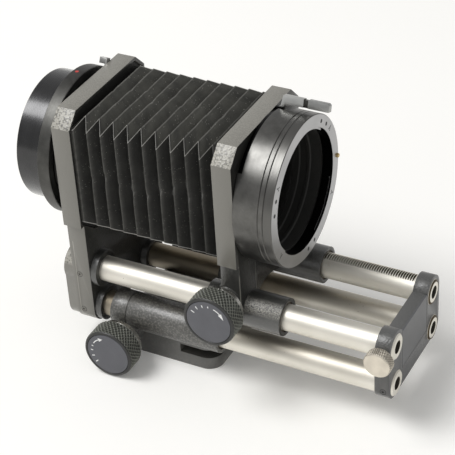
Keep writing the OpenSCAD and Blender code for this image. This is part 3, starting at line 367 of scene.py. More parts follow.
def anodised_black(name, tone, rough, lacquer=0.0):
    """Turned and anodised ring: dark metal with fine lines round its axis and a black bore."""
    f = Finish(name, rough, metallic=1.0)
    x, y, z = f.parts(f.place)
    turned = f.noise(f.vector(x, f.times(y, 0.02), f.times(z, 0.02)), 0.30 * MM)
    cloud = f.noise(f.place, 7 * MM, detail=4, rough=0.6)
    scuff = f.span(f.noise(f.place, 1.6 * MM, detail=4, rough=0.7), 0.60, 0.78)
    body = f.blend(f.span(cloud, 0.32, 0.68), scaled(tone, 0.74), scaled(tone, 1.16))
    body = f.blend(f.times(scuff, 0.3), body, scaled(tone, 2.0))
    bore = f.below(f.radius_about_x(AXIS_Z), BORE_RADIUS - 2 * MM)
    f.colour(f.blend(bore, body, (0.010, 0.010, 0.010)))
    f.rough(f.plus(f.span(turned, 0.3, 0.7, rough - 0.02, rough + 0.02), f.times(scuff, 0.12)))
    f.relief(turned, 0.004 * MM, 0.3)
    f.coat(lacquer, 0.18)
    return f.material


def face_metal(name, tone, side_tone, rough):
    """Flange: faced grey in front with concentric tool marks, dark on its turned side."""
    f = Finish(name, rough, metallic=1.0)
    radius = f.radius_about_x(AXIS_Z)
    marks = f.noise(f.vector(radius, f.parts(f.place)[0], 0.0), 0.18 * MM)
    body = f.clouded(tone, 0.9, 9 * MM)
    body = f.blend(f.span(marks, 0.35, 0.65, 0.0, 0.25), body, scaled(tone, 0.8))
    rim = f.span(radius, MOUNT_RADIUS - 0.45 * MM, MOUNT_RADIUS - 0.25 * MM)
    turned = f.span(f.facing(0), 0.8, 0.6)
    body = f.blend(f.most(turned, rim), body, side_tone)
    bore = f.times(f.below(radius, BORE_RADIUS - 3 * MM), turned)
    f.colour(f.blend(bore, body, (0.012, 0.012, 0.012)))
    f.rough(f.span(marks, 0.3, 0.7, rough - 0.05, rough + 0.05))
    f.relief(marks, 0.005 * MM, 0.4)
    return f.material


def plain_metal(name, tone, rough, grain=0.4 * MM, knurled=False):
    """Small turned or milled metal part. A knurled one is dark between its teeth."""
    f = Finish(name, rough, metallic=1.0)
    fine = f.noise(f.place, grain, detail=3)
    body = f.clouded(tone, 0.82, 5 * MM)
    if knurled:
        raised = f.read("raised")
        gap = f.times(f.span(raised, 0.02, 0.08), f.span(raised, 0.75, 0.35))
        body = f.blend(gap, body, scaled(tone, 0.28))
    f.colour(body)
    f.rough(f.span(fine, 0.3, 0.7, rough - 0.06, rough + 0.08))
    f.relief(fine, 0.012 * MM, 0.5)
    return f.material


def dark_plastic(name, tone, rough, specular=0.5):
    """Moulded or enamelled part with a very fine grain and a little dust."""
    f = Finish(name, rough, specular=specular)
    fine = f.noise(f.place, 0.3 * MM)
    body = f.clouded(tone, 0.88, 6 * MM)
    dust = f.times(f.span(f.cells(f.place, 1.7 * MM), 0.085, 0.05),
                   f.span(f.noise(f.place, 6 * MM), 0.54, 0.6))
    f.colour(f.blend(f.times(dust, 0.4), body, [2.0 * c + 0.05 for c in tone]))
    f.rough(f.span(fine, 0.3, 0.7, rough - 0.04, rough + 0.06))
    f.relief(fine, 0.012 * MM, 0.6)
    return f.material


def bellows_cloth(name):
    """Coated cloth: dark panels, fold lines lighter from wear, a painted highlight on one face
    beside each side ridge, lint and a top lighter in clouds.
    It reads the attributes that make_bellows leaves on the piece."""
    f = Finish(name, 0.62, specular=0.35)
    fold, lap, up = f.read("fold"), f.read("lap"), f.read("up")
    place = f.vector(f.read("along"), f.read("around"), 0.0)
    weave = f.noise(place, 0.35 * MM)
    cloud = f.noise(place, 9 * MM, detail=4, rough=0.6)
    patchy = f.span(f.noise(place, 3 * MM, detail=3), 0.3, 0.6, 0.5, 1.0)
    panel = f.blend(f.span(cloud, 0.3, 0.7), (0.020, 0.020, 0.0185), (0.034, 0.0335, 0.030))
    # The top is lighter, in clouds.
    paler_top = f.times(f.span(up, 0.2, 0.9), f.span(cloud, 0.3, 0.62, 0.35, 1.0))
    panel = f.blend(f.times(paler_top, 0.65), panel, (0.110, 0.108, 0.092))

    def from_whole(value):
        return f.minus(value, f.math("ROUND", value))

    top_ridge = f.unsigned(from_whole(f.plus(f.times(fold, 0.5), 0.5)))
    side_ridge = from_whole(f.times(fold, 0.5))
    top_line = f.times(f.span(top_ridge, 0.055, 0.025), up)
    # Painted highlight: a light ramp on one face beside each ridge of the sides.
    lit_face = f.times(f.math("POWER", f.span(side_ridge, 0.20, 0.0), 2.0), 0.7)
    crest = f.span(f.unsigned(side_ridge), 0.055, 0.02)
    crest_and_lit_face = f.times(f.most(crest, f.times(lit_face, f.above(side_ridge, 0.0))), f.minus(1.0, up))
    crease = f.times(f.span(f.unsigned(from_whole(fold)), 0.09, 0.03), 0.22)
    # Fold lines lighter from wear, together with the painted highlight of the side faces.
    rubbed_and_lit = f.most(f.times(top_line, 0.62), f.most(f.times(crest_and_lit_face, 0.40), crease))
    panel = f.blend(f.times(rubbed_and_lit, patchy), panel, (0.34, 0.335, 0.31))
    corner_line = f.span(f.unsigned(from_whole(f.plus(lap, 0.5))), 0.0085, 0.0045)
    panel = f.blend(f.times(corner_line, 0.95), panel, (0.60, 0.59, 0.56))
    lint = f.times(f.span(f.cells(place, 1.25 * MM), 0.17, 0.10),
                   f.span(f.noise(place, 7 * MM), 0.44, 0.56),
                   f.span(up, 0.0, 1.0, 0.45, 1.0))
    f.colour(f.blend(f.times(lint, 0.8), panel, (0.50, 0.49, 0.44)))
    f.rough(f.span(weave, 0.3, 0.7, 0.55, 0.72))
    f.shader.inputs["Sheen Weight"].default_value = 0.10
    f.shader.inputs["Sheen Roughness"].default_value = 0.5
    f.relief(f.noise(place, 5 * MM, detail=3), 0.35 * MM, 0.5)
    f.relief(weave, 0.05 * MM, 0.6)
    return f.material


def knurled_black(name):
    """Black knob: its knurl's raised mesh is grey from wear, the pits and smooth parts are dark."""
    f = Finish(name, 0.4)
    raised = f.read("raised")
    fine = f.noise(f.place, 0.3 * MM, detail=3)
    cloud = f.span(f.noise(f.place, 4 * MM, detail=3), 0.3, 0.7)
    body = f.blend(cloud, (0.018, 0.018, 0.017), (0.028, 0.028, 0.026))
    mesh = f.blend(cloud, (0.15, 0.155, 0.133), (0.215, 0.22, 0.19))
    grip = f.blend(f.span(raised, 0.30, 0.75), (0.036, 0.038, 0.032), mesh)
    f.colour(f.blend(f.span(raised, 0.01, 0.05), body, grip))
    f.rough(f.span(fine, 0.3, 0.7, 0.36, 0.52))
    f.relief(fine, 0.03 * MM, 0.6)
    return f.material


def lever_metal(name, tone, root, notch=None):
    """Plated lever: bright where the finger goes, dark inside the mount and in its notch."""
    f = Finish(name, 0.32, metallic=1.0)
    fine = f.noise(f.place, 0.35 * MM, detail=3)
    body = f.clouded(tone, 0.85, 5 * MM)
    if notch:
        x = f.parts(f.place)[0]
        body = f.blend(f.times(f.above(x, notch[1]), 0.8), body, scaled(tone, 0.55))
        in_notch = f.times(f.above(x, notch[0]), f.below(x, notch[1]))
        body = f.blend(f.times(in_notch, 0.95), body, (0.045, 0.045, 0.04))
    inside = f.span(f.radius_about_x(AXIS_Z), MOUNT_RADIUS + 0.5 * MM, MOUNT_RADIUS + 1.0 * MM,
                    1.0, 0.0)
    f.colour(f.blend(inside, body, root))
    f.rough(f.span(fine, 0.3, 0.7, 0.28, 0.40))
    f.relief(fine, 0.012 * MM, 0.5)
    return f.material


def white_print(name):
    """Worn white paint of the arrows."""
    f = Finish(name, 0.5)
    mottle = f.noise(f.place, 0.5 * MM, detail=3)
    f.colour(f.blend(f.span(mottle, 0.3, 0.6), (0.72, 0.72, 0.71), (0.9, 0.9, 0.89)))
    f.relief(mottle, 0.01 * MM, 0.4)
    return f.material


def white_floor(name):
    """Pale table top that shows white to the camera and in reflections, and keeps its shadow."""
    f = Finish(name, 0.9, specular=0.1)
    f.colour(f.blend(f.noise(f.place, 300 * MM), (0.965, 0.955, 0.925), (0.975, 0.965, 0.935)))
    rays = f.node("ShaderNodeLightPath").outputs
    seen = f.most(rays["Is Camera Ray"], f.most(rays["Is Glossy Ray"], rays["Is Transmission Ray"]))
    f.shader.inputs["Emission Color"].default_value = (1.0, 1.0, 1.0, 1.0)
    f.feed(f.shader.inputs["Emission Strength"], f.times(seen, FLOOR_GLOW))
    return f.material


# Mesh helpers

def new_piece(name, mesh, material, body=None):
    """Adds a piece of one material, which rides the body if one is given."""
    piece = bpy.data.objects.new(name, mesh)
    bpy.context.scene.collection.objects.link(piece)
    piece.data.materials.clear()
    piece.data.materials.append(material)
    if body:
        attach(piece, body)
    return piece


def mesh_from(name, bm):
    mesh = bpy.data.meshes.new(name)
    bm.to_mesh(mesh)
    bm.free()
    return mesh


def smooth_by_angle(mesh, degrees):
    mesh.polygons.foreach_set("use_smooth", [True] * len(mesh.polygons))
    mesh.set_sharp_from_angle(angle=math.radians(degrees))


def use_modifiers_up(piece):
    """Gives the piece the mesh that its modifiers make, and drops them."""
    graph = bpy.context.evaluated_depsgraph_get()
    mesh = bpy.data.meshes.new_from_object(piece.evaluated_get(graph))
    piece.modifiers.clear()
    piece.data = mesh


def local_frame(x, y, z, axis):
    """Matrix that takes local Z to the axis, with its foot at the point."""
    turn = Vector(axis).to_track_quat("Z", "Y").to_matrix().to_4x4()
    return Matrix.Translation((x, y, z)) @ turn


def lathe_mesh(name, profile, steps, place):
    """Turned body from (radius, height) pairs, closed at both ends where the radius is zero."""
    bm = bmesh.new()
    rings = []
    for radius, height in profile:
        if radius <= 0:
            rings.append([bm.verts.new((0, 0, height))])
            continue
        rings.append([bm.verts.new((radius * math.cos(TAU * i / steps),
                                    radius * math.sin(TAU * i / steps), height))
                      for i in range(steps)])
    for low, high in zip(rings, rings[1:]):
        for i in range(steps):
            j = (i + 1) % steps
            corners = [low[i % len(low)], low[j % len(low)],
                       high[j % len(high)], high[i % len(high)]]
            corners = list(dict.fromkeys(corners))
            if len(corners) > 2:
                bm.faces.new(corners)
    bmesh.ops.recalc_face_normals(bm, faces=bm.faces)
    mesh = mesh_from(name, bm)
    mesh.transform(place)
    smooth_by_angle(mesh, 32)
    return mesh


def strip_mesh(outline, depth, place):
    """Thin flat form from an outline in local X and Y, with its back on local Z zero."""
    bm = bmesh.new()
    low = [bm.verts.new((x, y, 0)) for x, y in outline]
    high = [bm.verts.new((x, y, depth)) for x, y in outline]
    bm.faces.new(high)
    bm.faces.new(list(reversed(low)))
    for i in range(len(outline)):
        j = (i + 1) % len(outline)
        bm.faces.new([low[i], low[j], high[j], high[i]])
    bmesh.ops.recalc_face_normals(bm, faces=bm.faces)
    mesh = mesh_from("strip", bm)
    mesh.transform(place)
    return mesh


def joined_mesh(name, meshes):
    bm = bmesh.new()
    for mesh in meshes:
        bm.from_mesh(mesh)
        bpy.data.meshes.remove(mesh)
    return mesh_from(name, bm)


def solid_boxes(node):
    """Box of each separate solid of a CAD node."""
    bm = bmesh.new()
    bm.from_mesh(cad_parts[node].data)
    bmesh.ops.remove_doubles(bm, verts=bm.verts, dist=0.001 * MM)
    left = set(bm.verts)
    boxes = []
    while left:
        group = [left.pop()]
        for vert in group:
            linked = {edge.other_vert(vert) for edge in vert.link_edges} & left
            left -= linked
            group.extend(linked)
        boxes.append(tuple(Vector([pick(v.co[i] for v in group) for i in range(3)])
                           for pick in (min, max)))
    bm.free()
    return sorted(boxes, key=lambda box: tuple(box[0]))


# Geometry Nodes

def new_tree(name, sockets):
    """A geometry tree with the named inputs, each (name, type, value)."""
    tree = bpy.data.node_groups.new(name, "GeometryNodeTree")
    tree.interface.new_socket("Geometry", in_out="INPUT", socket_type="NodeSocketGeometry")
    for label, kind, value in sockets:
        socket = tree.interface.new_socket(label, in_out="INPUT", socket_type="NodeSocket" + kind)
        if value is not None:
            socket.default_value = value
    tree.interface.new_socket("Geometry", in_out="OUTPUT", socket_type="NodeSocketGeometry")
    return tree


def use_tree(piece, tree, **values):
    """Puts the tree on the piece as a modifier, with its inputs set by identifier."""
    modifier = piece.modifiers.new(tree.name, "NODES")
    modifier.node_group = tree
    named = {item.name: item.identifier for item in tree.interface.items_tree
             if item.item_type == "SOCKET" and item.in_out == "INPUT"}
    for label, value in values.items():
        modifier[named[label.replace("_", " ")]] = value


def grid_cells(g, columns, lines):
    """A grid mesh of the given counts, and the column and line of each of its points."""
    grid = g.node("GeometryNodeMeshGrid", {
        "Size X": 1.0, "Size Y": 1.0, "Vertices X": columns, "Vertices Y": lines})
    index = g.node("GeometryNodeInputIndex").outputs[0]
    column = g.math("FLOOR", g.over(g.plus(index, 0.5), lines))
    return grid.outputs["Mesh"], column, g.minus(index, g.times(column, lines))


def shaped_mesh(g, mesh, place, values, merge):
    """The mesh with its points put in place, its attributes stored and its seams merged."""
    mesh = g.node("GeometryNodeSetPosition", {"Geometry": mesh, "Position": place}).outputs[0]
    for label, value in values.items():
        mesh = g.node("GeometryNodeStoreNamedAttribute", {
            "Geometry": mesh, "Name": label, "Value": value},
            data_type="FLOAT", domain="POINT").outputs[0]
    return g.node("GeometryNodeMergeByDistance", {
        "Geometry": mesh, "Distance": merge}).outputs[0]


def end_tree(g, geometry, surface):
    """Realizes the geometry, gives it its material and sends it out."""
    solid = g.node("GeometryNodeRealizeInstances", {0: geometry})
    dressed = g.node("GeometryNodeSetMaterial", {"Geometry": solid.outputs[0], "Material": surface})
    g.node("NodeGroupOutput", {0: dressed.outputs[0]})


def knurl_tree():
    """Sleeve round the local Z axis with staggered rows of pits between raised crossing ribs."""
    tree = new_tree("knurl", [
        ("Radius", "Float", 12 * MM), ("Start", "Float", 0.0), ("Length", "Float", 9 * MM),
        ("Around", "Int", 45), ("Rows", "Int", 9), ("Depth", "Float", 0.5 * MM),
        ("Steps Around", "Int", 8), ("Steps Along", "Int", 6), ("Surface", "Material", None)])
    g = Graph(tree)
    given = g.node("NodeGroupInput").outputs
    columns = g.plus(g.times(given["Around"], given["Steps Around"]), 1.0)
    lines = g.plus(g.times(given["Rows"], given["Steps Along"]), 1.0)
    mesh, column, line = grid_cells(g, columns, lines)
    u = g.over(column, given["Steps Around"])
    v = g.over(line, given["Steps Along"])
    half = g.times(v, 0.5)
    one = g.math("COSINE", g.times(g.plus(u, half), math.pi))
    other = g.math("COSINE", g.times(g.minus(u, half), math.pi))
    raised = g.span(g.unsigned(g.times(one, other)), 0.08, 0.42, 1.0, 0.0)
    shown = g.times(g.span(v, 0.0, 0.3), g.span(g.minus(given["Rows"], v), 0.0, 0.3))
    reach = g.times(g.plus(g.times(raised, 0.7), 0.3), shown)
    radius = g.plus(g.times(reach, given["Depth"]), given["Radius"])
    angle = g.over(g.times(u, TAU), given["Around"])
    height = g.plus(g.times(g.over(v, given["Rows"]), given["Length"]), given["Start"])
    place = g.vector(g.times(g.math("COSINE", angle), radius),
                     g.times(g.math("SINE", angle), radius), height)
    sleeve = shaped_mesh(g, mesh, place, {"raised": g.plus(g.times(raised, 0.9), 0.1)},
                         0.005 * MM)
    whole = g.node("GeometryNodeJoinGeometry")
    tree.links.new(given["Geometry"], whole.inputs[0])
    tree.links.new(sleeve, whole.inputs[0])
    end_tree(g, whole.outputs[0], given["Surface"])
    return tree


def pleat_tree():
    """Square pleated sleeve along X: a grid whose half width and half height swap at every fold."""
    tree = new_tree("pleats", [
        ("Start", "Float", 0.0), ("Length", "Float", 69 * MM), ("Height", "Float", 95 * MM),
        ("Folds", "Int", 10), ("Steps", "Int", 5), ("Side", "Int", 24),
        ("Collar", "Float", 2.4 * MM),
        ("Outer Width", "Float", 30 * MM), ("Inner Width", "Float", 24 * MM),
        ("Outer Height", "Float", 29 * MM), ("Inner Height", "Float", 24 * MM),
        ("Dent", "Float", 0.5 * MM), ("Seed", "Float", 3.0), ("Surface", "Material", None)])
    g = Graph(tree)
    given = g.node("NodeGroupInput").outputs
    edges = g.times(given["Folds"], 2.0)
    last = g.plus(g.times(edges, given["Steps"]), 2.0)
    rows = g.plus(g.times(given["Side"], 4.0), 1.0)
    mesh, column, row = grid_cells(g, g.plus(last, 1.0), rows)

    # Along: the fold count, the swing between outer and inner edges, and the end collars
    raw = g.over(g.minus(column, 1.0), given["Steps"])
    fold = g.math("MINIMUM", g.most(raw, 0.0), edges)
    swing = g.math("PINGPONG", fold, 1.0)
    half_width = g.span(swing, 0.0, 1.0, given["Outer Width"], given["Inner Width"])
    half_height = g.span(swing, 0.0, 1.0, given["Inner Height"], given["Outer Height"])
    in_collar = g.minus(g.above(column, g.minus(last, 0.5)), g.below(column, 0.5))
    x = g.plus(g.times(g.over(fold, edges), given["Length"]), g.times(in_collar, given["Collar"]))

    # Around: which side a point is on, and its share of the way from corner to corner
    lap = g.plus(g.over(row, given["Side"]), 0.5)
    side = g.math("FLOOR", lap)
    share = g.plus(g.times(g.minus(lap, side), 2.0), -1.0)
    quarter = g.math("MODULO", side, 4.0)
    turn = g.times(quarter, TAU / 4)
    sine, cosine = g.math("SINE", turn), g.math("COSINE", turn)
    upright, flat = g.unsigned(sine), g.unsigned(cosine)
    out = g.plus(g.times(upright, half_width), g.times(flat, half_height))
    across = g.times(share, g.plus(g.times(upright, half_height), g.times(flat, half_width)))

    # Uneven panels, but still at the ends and corners
    crumple = g.node("ShaderNodeTexNoise", {
        "Vector": g.vector(fold, g.times(row, 0.13), given["Seed"]), "Scale": 1.3,
        "Detail": 3.0}).outputs["Fac"]
    inside = g.times(g.span(fold, 0.0, 1.0), g.span(g.minus(edges, fold), 0.0, 1.0))
    push = g.times(g.plus(g.times(crumple, 2.0), -1.0), given["Dent"], inside,
                   g.span(g.unsigned(share), 1.0, 0.7))
    out = g.plus(out, push)
    y = g.plus(g.times(across, cosine), g.times(out, sine))
    z = g.minus(g.times(across, sine), g.times(out, cosine))
    place = g.vector(g.plus(given["Start"], x), y, g.plus(given["Height"], z))
    from_top = g.unsigned(g.minus(g.over(row, given["Side"]), 2.0))
    sleeve = shaped_mesh(g, mesh, place, {
        "fold": fold, "share": share, "lap": from_top, "quarter": quarter}, 0.01 * MM)
    end_tree(g, sleeve, given["Surface"])
    return tree


# Pieces

def softened_cast(node, width, material, body):
    """A copy of a CAD node with its casting edges rounded, standing for that node.
    Its face attribute edge is 1 on the rounded edges."""
    bm = bmesh.new()
    bm.from_mesh(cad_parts[node].data)
    bmesh.ops.remove_doubles(bm, verts=bm.verts, dist=0.002 * MM)
    bmesh.ops.dissolve_limit(bm, angle_limit=math.radians(0.6), verts=bm.verts, edges=bm.edges,
                             delimit={"NORMAL"})
    piece = new_piece(node + "_cast", mesh_from(node + "_cast", bm), material)
    piece.data.materials.append(material)
    bevel = piece.modifiers.new("rounded edges", "BEVEL")
    bevel.material = 1
    bevel.width = width
    bevel.segments = 2
    bevel.limit_method = "ANGLE"
    bevel.angle_limit = math.radians(30)
    bevel.use_clamp_overlap = True
    bevel.loop_slide = True
    bevel.miter_outer = "MITER_SHARP"
    use_modifiers_up(piece)
    rounded = [float(face.material_index == 1) for face in piece.data.polygons]
    piece.data.attributes.new("edge", "FLOAT", "FACE").data.foreach_set("value", rounded)
    piece.data.polygons.foreach_set("material_index", [0] * len(rounded))
    piece.data.materials.pop(index=1)
    smooth_by_angle(piece.data, 40)
    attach(piece, body)
    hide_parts(node)


def set_values(mesh, name, values):
    mesh.attributes.new(name, "FLOAT", "POINT").data.foreach_set("value", values)


def take_values(mesh, name, keep):
    """The values of a point attribute, which goes unless it is kept."""
    values = [0.0] * len(mesh.vertices)
    mesh.attributes[name].data.foreach_get("value", values)
    if not keep:
        mesh.attributes.remove(mesh.attributes[name])
    return values


def make_bellows(material):
    """Pleated cloth between the two frames, with a kink in each fold line of the sides and top."""
    low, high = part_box("bellows")
    folds = 10
    collar = 2.4 * MM
    outer = (high.y - low.y) / 2
    middle = (low.z + high.z) / 2
    length = high.x - low.x - 2 * collar
    piece = new_piece("bellows_cloth", bpy.data.meshes.new("bellows_cloth"), material)
    use_tree(piece, pleat_tree(), Start=low.x + collar, Length=length, Height=middle,
             Folds=folds, Steps=5, Side=24, Collar=collar, Outer_Width=outer,
             Inner_Width=23.8 * MM, Outer_Height=(high.z - low.z) / 2, Inner_Height=24.1 * MM,
             Dent=0.55 * MM, Seed=3.0, Surface=material)
    use_modifiers_up(piece)
    mesh = piece.data
    fold, lap = take_values(mesh, "fold", True), take_values(mesh, "lap", True)
    share, quarter = take_values(mesh, "share", False), take_values(mesh, "quarter", False)

    lines = 2 * folds + 1
    rng = random.Random(11)
    kinks = [(rng.uniform(-0.30, 0.12), rng.uniform(0.9, 1.6) * MM, rng.uniform(0.04, 0.08))
             for _ in range(4 * lines)]
    for v, f, s, q in zip(mesh.vertices, fold, share, map(int, quarter)):
        line = round(f)
        if abs(f - line) > 0.45 or line in (0, 2 * folds):
            continue
        centre, depth, width = kinks[q * lines + line]
        dip = depth * (1 - 2 * abs(f - line)) * math.exp(-((s - centre) / width) ** 2)
        if line % 2 == (0 if q in (1, 3) else 1):
            dip = -dip
        if q == 3:
            v.co.y -= dip
        elif q == 1:
            v.co.y += dip
        elif q == 2:
            v.co.z += 0.5 * dip
    set_values(mesh, "along", [f * 0.8 * length / folds for f in fold])
    set_values(mesh, "around", [n * 2 * outer for n in lap])
    set_values(mesh, "up", [float(int(q) == 2) for q in quarter])
    bm = bmesh.new()
    bm.from_mesh(mesh)
    bmesh.ops.recalc_face_normals(bm, faces=bm.faces)
    bm.to_mesh(mesh)
    bm.free()
    wall = piece.modifiers.new("cloth thickness", "SOLIDIFY")
    wall.thickness = 0.5 * MM
    wall.offset = -1.0
    use_modifiers_up(piece)
    smooth_by_angle(piece.data, 24)
    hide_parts("bellows")
    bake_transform(piece)


def knurled_piece(node, body, slot, profile, place, material, tree, **sizes):
    """Turned body with a knurled sleeve on it, standing for a CAD node."""
    name = node + "_turned"
    piece = new_piece(name, lathe_mesh(name, profile, 96, Matrix.Identity(4)), material)
    use_tree(piece, tree, Surface=material, **sizes)
    use_modifiers_up(piece)
    piece.data.transform(place)
    smooth_by_angle(piece.data, 25)
    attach(piece, body)
    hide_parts(node)


def knob_piece(body, out, material, cap_material, tree):
    """Knurled knob with its cap. out is the sign of Y that its face looks along."""
    node, cap_node = body + "_knob", body + "_cap"
    low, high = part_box(node)
    cap_low, cap_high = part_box(cap_node)
    length = high.y - low.y
    radius = (high.x - low.x) / 2
    cap_radius = (cap_high.x - cap_low.x) / 2
    seat = length - (cap_high.y - cap_low.y)
    start = low.y if out > 0 else high.y
    hub = 1.0 * MM if out < 0 else 2.8 * MM
    hub_radius = 9.5 * MM if out < 0 else 5 * MM
    bore = 2.3 * MM
    root = radius - 0.62 * MM
    rim = 0.55 * MM
    groove = 0.35 * MM
    web = 0.7 * MM
    place = local_frame((low.x + high.x) / 2, start, (low.z + high.z) / 2, (0, out, 0))
    profile = [
        (bore, 0), (hub_radius, 0), (hub_radius, hub), (root - rim, hub), (root, hub + rim),
        (root, length - rim - 0.3 * MM), (radius - 0.25 * MM, length - rim),
        (radius - 0.5 * MM, length - 0.12 * MM), (radius - 0.8 * MM, length),
        (cap_radius + groove, length), (cap_radius + 0.1 * MM, length - 0.3 * MM),
        (cap_radius + 0.05 * MM, seat), (0, seat), (0, seat - web), (bore, seat - web),
        (bore, 0)]
    knurled_piece(node, body, "knob_black", profile, place, material, tree,
                  Radius=root - 0.05 * MM, Start=hub + 0.2 * MM,
                  Length=length - hub - rim - 0.2 * MM, Around=42, Rows=8, Depth=radius - root)
    face = [(0, seat), (cap_radius, seat), (cap_radius, length - 0.12 * MM),
            (cap_radius - 0.12 * MM, length - 0.02 * MM), (cap_radius - 0.5 * MM, length),
            (0, length)]
    cap = new_piece(cap_node + "_disc", lathe_mesh(cap_node + "_disc", face, 96, place),
                    cap_material, body)
    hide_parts(cap_node)


def thumb_head(material, tree):
    """Knurled head and plain shank of the thumb screw, which points into the end plate."""
    low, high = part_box("thumb_screw")
    radius = (high.x - low.x) / 2
    length = high.y - low.y
    head = 5.1 * MM
    foot = length - head
    shank = 2 * MM
    root = radius - 0.3 * MM
    place = local_frame((low.x + high.x) / 2, high.y, (low.z + high.z) / 2, (0, -1, 0))
    profile = [(0, 0), (shank, 0), (shank, foot), (root - 0.4 * MM, foot),
               (root, foot + 0.35 * MM), (root, length - 0.5 * MM),
               (radius - 0.35 * MM, length - 0.3 * MM), (radius - 0.8 * MM, length), (0, length)]
    knurled_piece("thumb_screw", "thumb", "thumb_nickel", profile, place, material, tree,
                  Radius=root - 0.03 * MM, Start=foot + 0.2 * MM, Length=head - 0.6 * MM,
                  Around=40, Rows=7, Depth=radius - root)


def polar(radius, degrees):
    return (radius * math.cos(math.radians(degrees)), radius * math.sin(math.radians(degrees)))


def arc_band(outer, inner, start, end, steps):
    """Outline of a band round the origin between two radii, from start to end in degrees."""
    angles = [start + (end - start) * i / steps for i in range(steps + 1)]
    return [polar(outer, a) for a in angles] + [polar(inner, a) for a in reversed(angles)]


def turn_arrow(body, tail, neck, tip, tick_angles, material):
    """White curved arrow on a lock knob's cap, with ticks that grow towards its tail."""
    low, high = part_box(body + "_cap")
    place = Matrix.Translation(((low.x + high.x) / 2, low.y, (low.z + high.z) / 2)) @ (
        Matrix.Rotation(math.pi / 2, 4, "X"))
    radius = 8.35 * MM
    half = 0.3 * MM
    head = 0.95 * MM
    spread = 1.6
    tick_halves = (0.9 * MM, 0.75 * MM, 0.6 * MM, 0.45 * MM)
    outlines = [arc_band(radius + half, radius - 0.6 * half, tail, neck, 10),
                [polar(radius + head, neck), polar(radius - 0.1 * MM, tip),
                 polar(radius - head, neck + 2)]]
    for angle, size in zip(tick_angles, tick_halves):
        outlines.append(arc_band(radius + size, radius - size, angle - spread, angle + spread, 2))
    name = body + "_arrow"
    forms = [strip_mesh(outline, 0.06 * MM, place) for outline in outlines]
    new_piece(name, joined_mesh(name, forms), material, body)


def screw_rings(name, node, material):
    """Dark line round each flush grub screw of a node, whose screws look out along Y."""
    half = 0.085 * MM
    forms = []
    for low, high in solid_boxes(node):
        middle = (low + high) / 2
        out = 1 if middle.y > 0 else -1
        radius = (high.x - low.x) / 2 + 0.015 * MM
        place = local_frame(middle.x, high.y if out > 0 else low.y, middle.z, (0, out, 0))
        under, over = -0.02 * MM, 0.03 * MM
        ring = [(radius - half, under), (radius + half, under), (radius + half, over),
                (radius - half, over), (radius - half, under)]
        forms.append(lathe_mesh("ring", ring, 40, place))
    new_piece(name, joined_mesh(name, forms), material, "rail")


def flange_marks(material):
    """Engraved index marks on the front flange's face, each a short V with a bar."""
    place = local_frame(FLANGE_HIGH.x - 0.01 * MM, 0, AXIS_Z, (1, 0, 0))
    across = place.inverted().to_3x3() @ Vector((0, 1, 0))
    upward = place.inverted().to_3x3() @ Vector((0, 0, 1))
    # The ends of each stroke in millimetres, out from the axis and to the side
    strokes = (((29.9, -0.9), (31.4, 0.0)), ((29.9, 0.9), (31.4, 0.0)), ((31.2, 0.0), (32.6, 0.0)))
    mark_angles = (34.6, 146.8, -146.6, -32.0)
    half = 0.2 * MM
    forms = []
    for turn in map(math.radians, mark_angles):
        out = across * math.cos(turn) + upward * math.sin(turn)
        side = upward * math.cos(turn) - across * math.sin(turn)
        for stroke in strokes:
            one, two = (out * r * MM + side * t * MM for r, t in stroke)
            flank = (two - one).normalized().cross(Vector((0, 0, 1))) * half
            outline = [(p.x, p.y) for p in (one + flank, one - flank, two - flank, two + flank)]
            forms.append(strip_mesh(outline, 0.03 * MM, place))
    new_piece("flange_marks", joined_mesh("flange_marks", forms), material, "front")


# Camera, light and floor

PICTURE_SIDE = 455
FOCAL_PIXELS = 1603.64
SENSOR = 36.0
CAMERA_PLACE = (0.31266, -0.51785, 0.47623)
CAMERA_RIGHT = (0.88700307, 0.45876864, -0.05250606)
CAMERA_UP = (-0.22303414, 0.52521277, 0.82122306)
CAMERA_BACK = (0.40432823, -0.71671674, 0.56818641)


def place_camera():
    """The photo's camera, as fitted to its rods and round ends."""
    data = bpy.data.cameras.new("camera")
    data.sensor_width = SENSOR
    data.lens = FOCAL_PIXELS / PICTURE_SIDE * SENSOR
    data.clip_start = 0.01
    data.clip_end = 50
    camera = bpy.data.objects.new("camera", data)
    bpy.context.scene.collection.objects.link(camera)
    turn = Matrix((CAMERA_RIGHT, CAMERA_UP, CAMERA_BACK)).transposed().to_4x4()
    camera.matrix_world = Matrix.Translation(CAMERA_PLACE) @ turn
    bpy.context.scene.camera = camera


def hang_key_box():
    """One large soft box, high on the near left, as the photo's rods and barrel reflect it."""
    aim = Vector((0.02, 0.0, 0.06))
    towards = Vector((-0.404, -0.357, 0.842)).normalized()
    distance, width, height, glow = 2.4, 1.30, 1.10, 9.0
    data = bpy.data.lights.new("key box", "AREA")
    data.shape = "RECTANGLE"
    data.size = width
    data.size_y = height
    data.energy = glow * math.pi * width * height
    lamp = bpy.data.objects.new("key box", data)
    bpy.context.scene.collection.objects.link(lamp)
    lamp.matrix_world = Matrix.Translation(aim + towards * distance) @ (
        towards.to_track_quat("Z", "Y").to_matrix().to_4x4())


def light_room():
    """Even room light, brighter in reflections, behind which the camera sees white."""
    world = bpy.data.worlds.new("studio")
    world.use_nodes = True
    bpy.context.scene.world = world
    g = Graph(world.node_tree)
    rays = g.node("ShaderNodeLightPath").outputs
    seen = g.most(rays["Is Camera Ray"], rays["Is Transmission Ray"])
    on_matt, in_gloss = 0.43, 0.54
    softly = g.span(rays["Is Glossy Ray"], 0.0, 1.0, on_matt, in_gloss)
    backdrop = world.node_tree.nodes["Background"]
    backdrop.inputs["Color"].default_value = (1.0, 1.0, 1.0, 1.0)
    g.feed(backdrop.inputs["Strength"], g.most(seen, softly))


